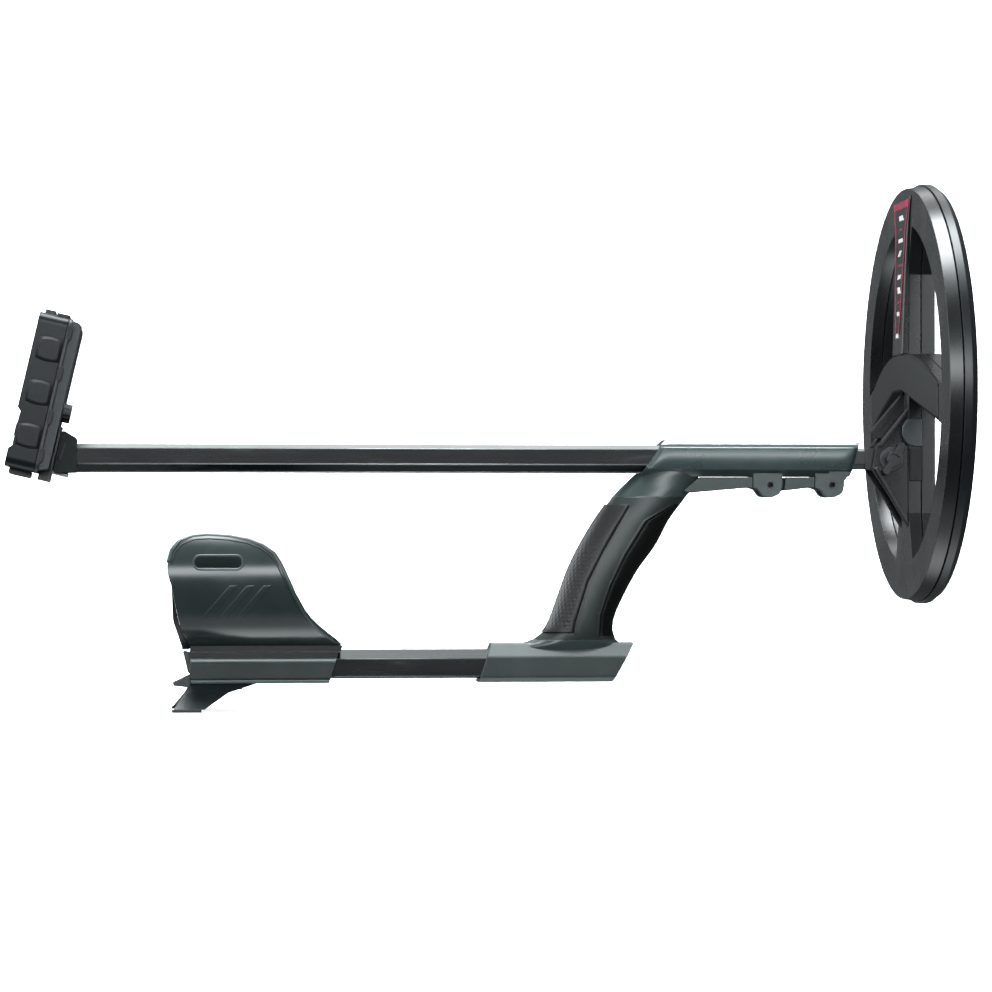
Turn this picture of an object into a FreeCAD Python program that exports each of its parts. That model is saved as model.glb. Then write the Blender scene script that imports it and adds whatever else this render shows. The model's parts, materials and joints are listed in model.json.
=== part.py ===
import FreeCAD, Part
import math
import os
from FreeCAD import Placement, Rotation, Vector

# Metal detector, collapsed for carrying. Millimetres. +X forward towards the search coil, +Z up.
# The origin is the middle of the overall box at floor level, where the stand's feet rest.

# ---------------------------------------------------------------- driving dimensions
STEM_WALL = 1.3
SLIDE_GAP = 0.3            # flat to flat clearance where a stem slides

UPPER_Z = 165.85           # middle of the upper stem
UPPER_HALF_WIDTH = 9.5
UPPER_HALF_HEIGHT = 9.25
UPPER_REAR_X = -261.7
UPPER_FRONT_X = 243.0
BUSH_LENGTH = 8.0

ROD_HALF = 7.0             # lower stem: half height and half width
ROD_Z = 166.4
ROD_REAR_X = -130.0
ROD_FRONT_X = 262.0
ROD_WALL = 1.2

HINGE_X = 278.9            # coil hinge bolt
HINGE_Z = 166.1
BOLT_R = 3.0
TONGUE_HALF = 7.0
EAR_INNER = 9.1
EAR_OUTER = 13.1

COIL_FACE_X = 290.0        # coil face on the stem side
COIL_Z = 210.0
COIL_R = 140.5
COIL_HOLE_R = 113.5
BODY_DEPTH = 8.3
COVER_GAP = 0.6
COVER_DEPTH = 9.1
SPINE_HALF = 15.0
SHELL_WALL = 2.2

LEG_Z = 30.2               # middle of the lower stem tube
LEG_HALF_HEIGHT = 9.5
LEG_REAR_X = -188.0
LEG_FRONT_X = 86.0

REAR_PIN = (197.0, 148.7)  # clamp lever pins (x, z)
FRONT_PIN = (238.8, 148.7)
PIN_R = 2.8
PIN_BORE_R = 1.9
LEVER_HALF = 12.2
CHEEK_INNER = 5.0
CAM_R = 5.3
SLEEVE_BOTTOM_Z = 154.4

SKIN = 2.0                 # rubber thickness on the grip
GRIP_TOP_Z = 140.7
GRIP_LOW_Z = 46.0

CUFF_R = 46.0
CUFF_Z = 86.5
CUFF_WALL = 2.5
BASE_HALF = 13.5
BASE_LOW_Z = 18.1

REMOTE_TILT = 13.0
REMOTE_CORNER = Vector(-308.1, 0, 160.5)
REMOTE_PARTING = 19.6      # depth of the front shell
REMOTE_THICK = 21.8
REMOTE_HALF_WIDTH = 30.0
REMOTE_LENGTH = 102.5
REMOTE_WALL = 1.8
RAIL_BACK = 28.4
DOCK_FRONT = 22.1
DOCK_BACK = 30.3


# ---------------------------------------------------------------- helpers
def outline(corners, place):
    """Closed wire through (u, v) or (u, v, radius) corners, each radius a tangent arc."""
    count = len(corners)
    runs = []
    for i, corner in enumerate(corners):
        here = Vector(corner[0], corner[1], 0)
        radius = corner[2] if len(corner) > 2 else 0
        if not radius:
            runs.append((here, None, here))
            continue
        before = corners[i - 1]
        after = corners[(i + 1) % count]
        back = (Vector(before[0], before[1], 0) - here).normalize()
        ahead = (Vector(after[0], after[1], 0) - here).normalize()
        half = back.getAngle(ahead) / 2
        reach = radius / math.tan(half)
        inward = (back + ahead).normalize()
        middle = here + inward * (radius / math.sin(half) - radius)
        runs.append((here + back * reach, middle, here + ahead * reach))
    edges = []
    for i, (start, middle, end) in enumerate(runs):
        if middle is not None:
            edges.append(Part.Arc(place(start), place(middle), place(end)).toShape())
        following = runs[(i + 1) % count][0]
        if (following - end).Length > 1e-6:
            edges.append(Part.LineSegment(place(end), place(following)).toShape())
    return Part.Wire(edges)


def prism_x(corners, x0, x1):
    wire = outline(corners, lambda p: Vector(x0, p.x, p.y))
    return Part.Face(wire).extrude(Vector(x1 - x0, 0, 0))


def prism_y(corners, y0, y1):
    wire = outline(corners, lambda p: Vector(p.x, y0, p.y))
    return Part.Face(wire).extrude(Vector(0, y1 - y0, 0))


def box(x0, x1, y0, y1, z0, z1):
    return Part.makeBox(x1 - x0, y1 - y0, z1 - z0, Vector(x0, y0, z0))


def rod_x(x0, x1, y, z, radius):
    return Part.makeCylinder(radius, x1 - x0, Vector(x0, y, z), Vector(1, 0, 0))


def rod_y(x, z, y0, y1, radius):
    return Part.makeCylinder(radius, y1 - y0, Vector(x, y0, z), Vector(0, 1, 0))


def rod_z(x, y, z0, z1, radius):
    return Part.makeCylinder(radius, z1 - z0, Vector(x, y, z0), Vector(0, 0, 1))


def ring_x(x0, x1, outer, inner, z):
    return rod_x(x0, x1, 0, z, outer).cut(rod_x(x0 - 1, x1 + 1, 0, z, inner))


def joined(shapes):
    first = shapes[0]
    return first.fuse(shapes[1:]).removeSplitter()


def cut_all(shape, tools):
    for tool in tools:
        shape = shape.cut(tool)
    return shape


def grow(section, distance):
    """A convex outline moved outward, or inward when distance is negative."""
    count = len(section)
    middle_u = sum(p[0] for p in section) / count
    middle_v = sum(p[1] for p in section) / count
    lines = []
    for i in range(count):
        a, b = section[i], section[(i + 1) % count]
        du, dv = b[0] - a[0], b[1] - a[1]
        size = math.hypot(du, dv)
        nu, nv = dv / size, -du / size
        if nu * (a[0] - middle_u) + nv * (a[1] - middle_v) < 0:
            nu, nv = -nu, -nv
        lines.append((nu, nv, nu * a[0] + nv * a[1] + distance))
    corners = []
    for i in range(count):
        nu, nv, c = lines[i - 1]
        mu, mv, d = lines[i]
        det = nu * mv - nv * mu
        corners.append(((c * mv - d * nv) / det, (nu * d - mu * c) / det))
    return corners


def softened(section, radius):
    return [(u, v, radius) for u, v in section]


def stem_section(middle, half_width, half_height, top_chamfer, low_chamfer):
    """Eight-sided stem outline in (y, z); each chamfer is (height, width)."""
    top = middle + half_height
    low = middle - half_height
    right = half_width
    th, tw = top_chamfer
    lh, lw = low_chamfer
    return [(-right, low + lh), (-right + lw, low), (right - lw, low), (right, low + lh),
            (right, top - th), (right - tw, top), (-right + tw, top), (-right, top - th)]


def largest_solid(shape):
    return max(shape.Solids, key=lambda solid: solid.Volume)


def compound(shapes):
    return Part.makeCompound(shapes)


UPPER_SECTION = stem_section(UPPER_Z, UPPER_HALF_WIDTH, UPPER_HALF_HEIGHT, (2.9, 2.9), (5.5, 4.5))
LEG_SECTION = stem_section(LEG_Z, UPPER_HALF_WIDTH, LEG_HALF_HEIGHT, (6.1, 4.5), (1.6, 2.0))
ROD_SECTION = stem_section(ROD_Z, ROD_HALF, ROD_HALF, (2.0, 2.0), (3.2, 2.8))


# ---------------------------------------------------------------- stems
def upper_stem_tube():
    tube = prism_x(softened(UPPER_SECTION, 0.8), UPPER_REAR_X, UPPER_FRONT_X)
    bore = prism_x(grow(UPPER_SECTION, -STEM_WALL), UPPER_REAR_X - 1, UPPER_FRONT_X + 1)
    return tube.cut(bore)


def stem_front_bush():
    """Plastic bush in the mouth of the upper stem: a collar and a spigot around the rod."""
    collar = prism_x(softened(UPPER_SECTION, 0.8), UPPER_FRONT_X, UPPER_FRONT_X + 2.5)
    spigot = prism_x(grow(UPPER_SECTION, -STEM_WALL - 0.05), UPPER_FRONT_X - BUSH_LENGTH, UPPER_FRONT_X)
    bore = prism_x(grow(ROD_SECTION, 0.15), UPPER_FRONT_X - BUSH_LENGTH - 1, UPPER_FRONT_X + 4)
    return joined([collar, spigot]).cut(bore)


def stem_rear_plug():
    """Solid plug that closes the rear of the upper stem and takes the bracket's screw."""
    plug = prism_x(grow(UPPER_SECTION, -STEM_WALL - 0.05), UPPER_REAR_X, UPPER_REAR_X + 26)
    hollow = prism_x(grow(UPPER_SECTION, -STEM_WALL - 3), UPPER_REAR_X + 12, UPPER_REAR_X + 27)
    return plug.cut(hollow).cut(rod_x(UPPER_REAR_X - 1, UPPER_REAR_X + 13, 0, UPPER_Z, 1.55))


def lower_stem_rod():
    rod = prism_x(softened(ROD_SECTION, 0.8), ROD_REAR_X, ROD_FRONT_X)
    bore = prism_x(grow(ROD_SECTION, -ROD_WALL), ROD_REAR_X - 1, ROD_FRONT_X + 1)
    return rod.cut(bore)


def rod_rear_guide():
    """Guide plug on the hidden end of the rod; it keeps the rod central in the upper stem."""
    guide = prism_x(grow(UPPER_SECTION, -STEM_WALL - SLIDE_GAP), ROD_REAR_X - 9, ROD_REAR_X)
    spigot = prism_x(grow(ROD_SECTION, -ROD_WALL - 0.05), ROD_REAR_X, ROD_REAR_X + 14)
    return joined([guide, spigot])


def stem_yoke():
    """Moulded end of the rod: a tongue between the coil's ears, and a spigot in the rod."""
    boss = rod_y(HINGE_X, HINGE_Z, -TONGUE_HALF, TONGUE_HALF, 8.6)
    neck = prism_y([(ROD_FRONT_X, 159.6), (HINGE_X, 158.0), (HINGE_X, 174.4), (ROD_FRONT_X, 173.2)],
                   -TONGUE_HALF, TONGUE_HALF)
    spigot = prism_x(grow(ROD_SECTION, -ROD_WALL - 0.05), ROD_FRONT_X - 22, ROD_FRONT_X)
    bore = rod_y(HINGE_X, HINGE_Z, -TONGUE_HALF - 1, TONGUE_HALF + 1, BOLT_R + 0.06)
    return joined([neck, boss, spigot]).cut(bore)


def friction_washers():
    washers = []
    for side in (-1, 1):
        y0, y1 = sorted((side * (TONGUE_HALF + 0.1), side * (EAR_INNER - 0.2)))
        disc = rod_y(HINGE_X, HINGE_Z, y0, y1, 8.5)
        washers.append(disc.cut(rod_y(HINGE_X, HINGE_Z, y0 - 1, y1 + 1, BOLT_R + 0.1)))
    return compound(washers)


# ---------------------------------------------------------------- handle
UPPER_SLEEVE_SIDE = [(110.9, 154.4), (112.0, 158.4), (121.6, 171.6), (123.2, 175.2, 2), (127.1, 179.1, 2),
                     (257.4, 177.4), (252.3, 158.3), (251.2, 154.4)]
LOWER_SLEEVE_SIDE = [(10.8, 44.0), (1.9, 18.0), (91.4, 18.0, 2), (106.0, 44.0)]

# grip sections from top to bottom: height, rear x, front x, half width
GRIP_SECTIONS = [
    (158.0, 110.5, 151.5, 11.0),
    (153.0, 104.5, 150.0, 11.5),
    (148.0, 99.3, 147.3, 12.0),
    (140.7, 92.3, 141.7, 13.2),
    (125.9, 81.6, 130.6, 14.6),
    (108.6, 71.2, 121.2, 15.2),
    (92.2, 63.2, 109.3, 15.6),
    (75.9, 57.2, 100.2, 15.6),
    (61.7, 52.0, 93.9, 15.2),
    (52.4, 47.2, 92.6, 14.6),
    (46.5, 39.6, 94.4, 13.8),
    (42.5, 27.0, 99.0, 12.6),
    (37.0, 20.0, 96.0, 10.0),
]


def grip_loft(inset, top=1e9, low=-1e9):
    wires = []
    for z, rear, front, half_width in GRIP_SECTIONS:
        middle = Vector((rear + front) / 2, 0, z)
        ellipse = Part.Ellipse(middle, (front - rear) / 2 - inset, half_width - inset)
        wires.append(Part.Wire(ellipse.toShape()))
    solid = Part.makeLoft(wires, True, False)
    far = 400
    if top < far:
        solid = solid.cut(box(-far, far, -far, far, top, far))
    if low > -far:
        solid = solid.cut(box(-far, far, -far, far, -far, low))
    return solid


def lug_cheek(pin):
    """Side view of the fixed lug under the sleeve, around one lever pin."""
    x, z = pin
    root = SLEEVE_BOTTOM_Z + 2
    return [(x - 11.4, root), (x - 11.5, z - 1.8), (x - 8.2, z - 2.6, 3), (x - 4.6, z - 7.6, 4),
            (x + 1.2, z - 8.4, 5), (x + 7.0, z - 5.6, 5), (x + 8.2, z, 3), (x + 8.2, root)]


def nose_web():
    """The front lug's web, which runs up to the end of the sleeve."""
    x, z = FRONT_PIN
    return [(x - 2, z), (x + 3.1, z - 5.5), (x + 6.8, z + 1.0, 3), (252.0, 157.7), (x - 2, 157.7)]


HANDLE_SCREWS = [(114.5, 147.5), (94.0, 34.0)]


def handle_screw_cutter(x, z):
    return joined([rod_y(x, z, -9, 14, 1.55), rod_y(x, z, 9, 16, 2.9)])


def handle_solid():
    """Both halves as one: two sleeves, the lever lugs, the neck and the core of the grip."""
    upper = prism_x(softened(stem_section(166.7, 12.8, 12.3, (4.0, 4.0), (5.2, 5.0)), 1.5), 108, 260)
    upper = upper.common(prism_y(UPPER_SLEEVE_SIDE, -20, 20))
    lower = prism_x(softened(stem_section(31.0, 13.2, 13.0, (9.0, 6.0), (3.4, 3.4)), 1.5), 0, 108)
    lower = lower.common(prism_y(LOWER_SLEEVE_SIDE, -20, 20))
    grip = joined([grip_loft(0, low=GRIP_TOP_Z), grip_loft(SKIN), grip_loft(0, top=GRIP_LOW_Z)])
    lugs = [prism_y(lug_cheek(REAR_PIN), -11.8, 11.8), prism_y(lug_cheek(FRONT_PIN), -11.8, 11.8),
            prism_y(nose_web(), -11.8, 11.8)]
    return joined([upper, lower, grip] + lugs)


def handle_cuts():
    cuts = [
        prism_x(grow(UPPER_SECTION, SLIDE_GAP), 100, 270),
        prism_x(grow(LEG_SECTION, 0.05), -5, LEG_FRONT_X),
        grip_loft(5.5, top=134, low=56),
    ]
    for x, z in (REAR_PIN, FRONT_PIN):
        cuts.append(box(x - 13, x + 9.5, -CHEEK_INNER, CHEEK_INNER, z - 12, SLEEVE_BOTTOM_Z))
        cuts.append(box(x - 8, x + 8, -4.5, 4.5, SLEEVE_BOTTOM_Z - 1, SLEEVE_BOTTOM_Z + 4))
        cuts.append(rod_y(x, z, -20, 20, PIN_R))
    cuts += [handle_screw_cutter(x, z) for x, z in HANDLE_SCREWS]
    return cuts


def handle_halves():
    whole = cut_all(handle_solid(), handle_cuts())
    right = largest_solid(whole.common(box(-50, 300, -30, 0, 0, 200)))
    left = largest_solid(whole.common(box(-50, 300, 0, 30, 0, 200)))
    return right, left


def handle_screws():
    screws = []
    for x, z in HANDLE_SCREWS:
        reach = 11.4
        shank = rod_y(x, z, -8.5, 9.1, 1.5)
        head = rod_y(x, z, 9.1, reach, 2.7)
        socket = rod_y(x, z, reach - 1.4, reach + 1, 1.2)
        screws.append(joined([shank, head]).cut(socket))
    return compound(screws)


STRIPE_REAR = [(103.0, 136.0), (98.4, 130.0), (83.6, 104.5), (73.4, 84.0), (65.2, 57.5), (64.0, 51.0)]
STRIPE_FRONT = [(137.0, 137.5), (128.5, 133.1), (114.3, 124.9), (100.0, 102.4), (89.8, 81.0),
                (83.6, 62.6), (82.8, 49.0)]
PAD_GROOVE = 0.6


def grip_parts():
    """Smooth rubber overmould, and the textured rear and front pads set into it."""
    skin = grip_loft(0, GRIP_TOP_Z, GRIP_LOW_Z).cut(grip_loft(SKIN, GRIP_TOP_Z + 1, GRIP_LOW_Z - 1))
    rear_zone = STRIPE_REAR + [(20, 51.0), (20, 136.0)]
    front_zone = STRIPE_FRONT + [(160, 49.0), (160, 137.5)]
    rear_tool = prism_y(rear_zone, -30, 30)
    front_tool = prism_y(front_zone, -30, 30)
    overmould = skin.cut(rear_tool).cut(front_tool)
    rear_pad = skin.common(prism_y(shifted(rear_zone, -PAD_GROOVE), -30, 30))
    front_pad = skin.common(prism_y(shifted(front_zone, PAD_GROOVE), -30, 30))
    return overmould, largest_solid(rear_pad), largest_solid(front_pad)


def shifted(points, distance):
    return [(x + distance, z) for x, z in points]


# ---------------------------------------------------------------- clamp levers
def lever(pin, tail):
    """A forked tail that folds up under the sleeve, and a tongue with the cam between the lugs."""
    x, z = pin
    plate = prism_y(tail, -LEVER_HALF, LEVER_HALF)
    tail_x = min(p[0] for p in tail)
    trough = box(tail_x - 1, x - 14.5, -9.8, 9.8, z - 1.6, z + 10)
    plate = plate.cut(trough)
    tongue = prism_y([(x - 14, z - 1.6), (x, z - CAM_R), (x, z + CAM_R - 0.2), (x - 14, z + 5.0)],
                     -CHEEK_INNER + 0.3, CHEEK_INNER - 0.3)
    cam = rod_y(x, z, -CHEEK_INNER + 0.3, CHEEK_INNER - 0.3, CAM_R)
    shape = joined([plate, tongue, cam])
    return largest_solid(shape.cut(rod_y(x, z, -20, 20, PIN_R + 0.05)))


def rear_lever():
    x, z = REAR_PIN
    tail = [(149.4, 153.9), (138.0, 144.1, 0.8), (148.3, 143.9), (182.9, 146.9),
            (x - 12, 147.0), (x - 12, 153.9)]
    shape = lever(REAR_PIN, tail)
    return largest_solid(shape.cut(box(130, 151.5, -9.8, 9.8, 140, 160)))


def front_lever():
    x, z = FRONT_PIN
    tail = [(207.2, 153.9), (206.6, 144.9, 0.8), (223.5, 146.9), (x - 12, 147.0), (x - 12, 153.9)]
    return lever(FRONT_PIN, tail)


def lever_pins():
    pins = []
    for x, z in (REAR_PIN, FRONT_PIN):
        pin = rod_y(x, z, -11.9, 11.9, PIN_R)
        pins.append(pin.cut(rod_y(x, z, -13, 13, PIN_BORE_R)))
    return compound(pins)


def clamp_shoes():
    shoes = []
    for x, z in (REAR_PIN, FRONT_PIN):
        shoes.append(box(x - 7.6, x + 7.6, -4.2, 4.2, z + CAM_R + 0.2, UPPER_Z - UPPER_HALF_HEIGHT - 0.25))
    return compound(shoes)


# ---------------------------------------------------------------- search coil
ARM_OUTLINE = [(-30, 236.0, 24), (30, 236.0, 24), (116, 212.0), (110, 187.0), (SPINE_HALF, 211.0),
               (-SPINE_HALF, 211.0), (-110, 187.0), (-116, 212.0)]


def coil_plate(x0, x1, outer, hole, spine, margin=0.0):
    """Ring, spine and chevron arms of the coil, extruded along X."""
    ring = ring_x(x0, x1, outer, hole, COIL_Z)
    bar = box(x0, x1, -spine, spine, COIL_Z - hole - 2, COIL_Z + hole + 2)
    flares = []
    for end in (-1, 1):
        z_in = COIL_Z + end * (hole - 34)
        z_out = COIL_Z + end * (hole + 1)
        corners = [(-spine, z_in), (-spine - 11, z_out), (spine + 11, z_out), (spine, z_in)]
        flares.append(prism_x(corners, x0, x1))
    arms = prism_x(ARM_OUTLINE, x0, x1).common(rod_x(x0, x1, 0, COIL_Z, hole + 2))
    return joined([ring, bar, arms] + flares)


def winding_cavity(x0, x1):
    ring = ring_x(x0, x1, COIL_R - 4.5, COIL_HOLE_R + SHELL_WALL, COIL_Z)
    half = SPINE_HALF - SHELL_WALL
    bar = box(x0, x1, -half, half, COIL_Z - COIL_HOLE_R - 6, COIL_Z + COIL_HOLE_R + 6)
    return joined([ring, bar])


def ear_side():
    """Side view of one ear: a triangular gusset around the hinge bolt."""
    x, z = HINGE_X, HINGE_Z
    face = COIL_FACE_X + 1
    return [(face, z + 33.0), (x - 10.4, z + 8.8, 4), (x - 13.2, z - 7.0, 4), (face, z - 44.5)]


def stop_rib_side():
    """Side view of the middle rib above the tongue, the stop for leaning back."""
    x, z = HINGE_X, HINGE_Z
    face = COIL_FACE_X + 1
    return [(face, z + 47.0), (x - 12.2, z + 18.6, 1.5), (x - 8.6, z + 14.4, 1.5), (face, z + 12.5)]


COVER_SCREWS = [(angle, 131.5) for angle in (30, 90, 150, 210, 270, 330)]


def cover_screw_places():
    places = []
    for angle, radius in COVER_SCREWS:
        turn = math.radians(angle)
        places.append((radius * math.cos(turn), COIL_Z + radius * math.sin(turn)))
    return places


def coil_body_shell():
    x0, x1 = COIL_FACE_X, COIL_FACE_X + BODY_DEPTH
    plate = coil_plate(x0, x1, COIL_R - 1.2, COIL_HOLE_R, SPINE_HALF)
    bevel = Part.makeCone(COIL_R - 2.8, COIL_R - 1.2, BODY_DEPTH, Vector(x0, 0, COIL_Z), Vector(1, 0, 0))
    plate = plate.common(bevel)
    plate = plate.cut(winding_cavity(x0 + SHELL_WALL, x1 + 1))
    ears = [prism_y(ear_side(), -EAR_OUTER, -EAR_INNER), prism_y(ear_side(), EAR_INNER, EAR_OUTER)]
    rib = prism_y(stop_rib_side(), -3.5, 3.5)
    posts = []
    for y, z in cover_screw_places():
        posts.append(rod_x(x0 + 1, x1, y, z, 3.2))
    shape = joined([plate, rib] + ears + posts)
    shape = shape.cut(rod_y(HINGE_X, HINGE_Z, -20, 20, BOLT_R + 0.1))
    for y, z in cover_screw_places():
        shape = shape.cut(rod_x(x0 + 3, x1 + 1, y, z, 1.15))
    return largest_solid(shape)


def coil_skid_cover():
    x0 = COIL_FACE_X + BODY_DEPTH + COVER_GAP
    x1 = x0 + COVER_DEPTH
    plate = coil_plate(x0, x1, COIL_R, COIL_HOLE_R, SPINE_HALF)
    rim = Part.makeCone(COIL_R + 4.0, COIL_R - 3.0, COVER_DEPTH, Vector(x0, 0, COIL_Z), Vector(1, 0, 0))
    plate = plate.common(rim)
    plate = plate.cut(winding_cavity(x0 - 1, x1 - SHELL_WALL))
    posts = [rod_x(x0, x1 - 1, y, z, 3.6) for y, z in cover_screw_places()]
    shape = joined([plate] + posts)
    for y, z in cover_screw_places():
        shape = shape.cut(rod_x(x0 - 1, x1 + 1, y, z, 1.3))
        shape = shape.cut(rod_x(x1 - 3, x1 + 1, y, z, 2.4))
    return largest_solid(shape)


def cover_screws():
    x0 = COIL_FACE_X + 4
    x1 = COIL_FACE_X + BODY_DEPTH + COVER_GAP + COVER_DEPTH
    screws = []
    for y, z in cover_screw_places():
        shank = rod_x(x0, x1 - 3, y, z, 1.1)
        head = rod_x(x1 - 3, x1 - 1.2, y, z, 2.2)
        screws.append(joined([shank, head]))
    return compound(screws)


def winding(x0, side):
    """One D-shaped bundle: it follows half of the ring and comes back through the spine."""
    def dee(radius, edge, thick):
        half = [(edge, COIL_Z - 150), (edge, COIL_Z + 150), (150, COIL_Z + 150), (150, COIL_Z - 150)]
        corners = [(side * u, v) for u, v in half]
        return rod_x(x0 - thick, x0 + 2.2 + thick, 0, COIL_Z, radius).common(
            prism_x(corners, x0 - thick, x0 + 2.2 + thick))
    return dee(126.5, -10.5, 0).cut(dee(119.0, -4.5, 1))


def coil_board():
    return box(299.6, 301.2, -12, 12, 152, 204)


def coil_battery():
    return box(301.5, 305.4, -11, 11, 96, 146)


def hinge_bolt():
    shank = rod_y(HINGE_X, HINGE_Z, -21.5, EAR_OUTER, BOLT_R)
    turns = [math.radians(60 * i) for i in range(6)]
    hexagon = [(HINGE_X + 6 * math.cos(a), HINGE_Z + 6 * math.sin(a)) for a in turns]
    head = prism_y(hexagon, EAR_OUTER, EAR_OUTER + 4)
    return joined([shank, head])


def bolt_washer():
    disc = rod_y(HINGE_X, HINGE_Z, -EAR_OUTER - 1.3, -EAR_OUTER - 0.1, 6.5)
    return disc.cut(rod_y(HINGE_X, HINGE_Z, -30, 0, BOLT_R + 0.1))


def wing_nut():
    """Boss on the bolt with two rounded wings."""
    y0 = -EAR_OUTER - 8.0
    y1 = -EAR_OUTER - 1.6
    boss = rod_y(HINGE_X, HINGE_Z, y0, y1, 5.0)
    wing = prism_y([(HINGE_X - 12, HINGE_Z - 2, 1.9), (HINGE_X + 12, HINGE_Z - 2, 1.9),
                    (HINGE_X + 12, HINGE_Z + 2, 1.9), (HINGE_X - 12, HINGE_Z + 2, 1.9)], y0 - 2, y1 - 1.2)
    wing.rotate(Vector(HINGE_X, 0, HINGE_Z), Vector(0, -1, 0), 58)
    return joined([boss, wing]).cut(rod_y(HINGE_X, HINGE_Z, -40, 0, BOLT_R + 0.05))


def spine_decal():
    """Thin coloured strip with a flared head, stuck on the upper half of the spine."""
    right = [(24.0, 339.0), (18.0, 321.0), (14.0, 292.0), (9.0, 266.0), (5.5, 249.5)]
    left = [(-y, z) for y, z in reversed(right)]
    return prism_x(right + left, COIL_FACE_X - 0.45, COIL_FACE_X - 0.02)


# ---------------------------------------------------------------- arm rest
WING_CURVE = [(-200.6, 84.0), (-202.4, 97.7), (-195.2, 111.5), (-176.8, 115.5), (-150.3, 112.5),
              (-133.9, 103.7), (-125.7, 88.5), (-114.5, 66.0), (-104.3, 54.8), (-90.5, 44.6)]


def wing_outline():
    """Side view of the cuff: a smooth curve from the rear edge over the top and down to the front."""
    curve = Part.BSplineCurve()
    points = [Vector(x, -60, z) for x, z in WING_CURVE]
    curve.interpolate(points)
    front_foot = Vector(-89.0, -60, 38.6)
    rear_foot = Vector(-187.7, -60, 38.6)
    rear_bend = Vector(-194.4, -60, 55.7)
    corners = [points[-1], front_foot, rear_foot, rear_bend, points[0]]
    sides = [Part.LineSegment(a, b).toShape() for a, b in zip(corners, corners[1:])]
    edges = [curve.toShape()] + sides
    return Part.Face(Part.Wire(edges)).extrude(Vector(0, 120, 0))


def strap_slot():
    """Rounded slot through the near wing."""
    low, high, corner_r = 93.9, 101.1, 3.5
    outline = [(x, z, corner_r) for x, z in ((-185.0, low), (-155.0, low), (-155.0, high), (-185.0, high))]
    return prism_y(outline, -60, 0)


def tube_channel(gap):
    return prism_x(grow(LEG_SECTION, gap), -215, -60)


def cuff_shell():
    shell = ring_x(-215, -80, CUFF_R, CUFF_R - CUFF_WALL, CUFF_Z)
    saddle = box(-187.7, -89.0, -BASE_HALF, BASE_HALF, 38.6, 45.0)
    saddle = saddle.cut(rod_x(-216, -60, 0, CUFF_Z, CUFF_R - CUFF_WALL))
    shape = joined([shell.common(wing_outline()), saddle])
    shape = shape.cut(strap_slot()).cut(tube_channel(SLIDE_GAP))
    for x, y in base_screw_places():
        shape = shape.cut(rod_z(x, y, 37, 42.6, 0.95))
    return largest_solid(shape)


def cuff_edge_trim():
    """Black lip along the lower rear edge of the cuff; it narrows to nothing going up."""
    side = [(-199.9, 80.5), (-198.9, 59.0), (-193.0, 41.5), (-193.0, 39.6), (-188.1, 39.6), (-194.45, 55.6)]
    lip = ring_x(-215, -180, CUFF_R + 0.4, CUFF_R - CUFF_WALL - 0.4, CUFF_Z)
    return largest_solid(lip.common(prism_y(side, -60, 60)))


def base_screw_places():
    return [(x, side * 11.6) for x in (-176, -106) for side in (-1, 1)]


def cuff_base():
    """Channel that grips the lower stem tube from below."""
    side = [(-187.7, 37.9), (-187.7, BASE_LOW_Z), (-96.8, BASE_LOW_Z), (-90.6, 37.9)]
    section = [(-BASE_HALF, 37.9), (-BASE_HALF, 20.6, 2), (-BASE_HALF + 2.5, BASE_LOW_Z, 1),
               (BASE_HALF - 2.5, BASE_LOW_Z, 1), (BASE_HALF, 20.6, 2), (BASE_HALF, 37.9)]
    shape = prism_x(section, -190, -88).common(prism_y(side, -20, 20))
    shape = shape.cut(tube_channel(SLIDE_GAP))
    for x, y in base_screw_places():
        shape = shape.cut(rod_z(x, y, 15, 40, 1.05)).cut(rod_z(x, y, 15, 20.4, 1.75))
    for x in STAND_SCREWS:
        shape = shape.cut(rod_z(x, 0, 15, 20.6, 1.5))
    return largest_solid(shape)


def base_screws():
    screws = []
    for x, y in base_screw_places():
        screws.append(joined([rod_z(x, y, 20.0, 42.5, 0.9), rod_z(x, y, 18.6, 20.3, 1.65)]))
    return compound(screws)


def tube_end_cap():
    """Black cap on the rear end of the lower stem tube."""
    side = [(-192.6, 39.2, 1), (LEG_REAR_X, 38.4), (LEG_REAR_X, 24.0), (-189.4, 26.0)]
    return prism_y(side, -9, 9)


STAND_SCREWS = [-176.0, -156.0]
FOOT_THICK = 1.7


def loft_leg(side):
    """One splayed leg between its root under the channel and its foot."""
    def rung(x0, x1, y0, y1, z):
        ends = [Vector(x, side * y, z) for x, y in ((x0, y0), (x1, y0), (x1, y1), (x0, y1))]
        return Part.makePolygon(ends + [ends[0]])
    root = rung(-187.7, -144.0, 7.0, 12.0, 18.0)
    knee = rung(-190.8, -163.0, 13.4, 17.9, 12.0)
    foot = rung(-198.7, -178.5, 26.0, 30.0, FOOT_THICK)
    return Part.makeLoft([root, knee, foot], True, True)


def cuff_stand():
    """Stand under the channel: two splayed legs and a short tongue to the rear."""
    pad = prism_y([(-187.7, 18.0), (-187.7, 15.4), (-153.0, 15.4), (-146.0, 18.0)], -11.5, 11.5)
    tongue = prism_y([(-199.0, 18.2), (-187.9, 23.4), (-187.9, 15.4), (-198.4, 16.6)], -13, 13)
    tongue = tongue.cut(tube_channel(SLIDE_GAP))
    root = box(-188.5, -180.0, -9, 9, 15.4, 18.0)
    shape = joined([pad, tongue, root, loft_leg(1), loft_leg(-1)])
    for x in STAND_SCREWS:
        shape = shape.cut(rod_z(x, 0, 10, 19, 1.6))
    return largest_solid(shape)


def stand_feet():
    return compound([box(-199.7, -180.5, y0, y0 + 5.5, 0, FOOT_THICK) for y0 in (-31, 25.5)])


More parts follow.
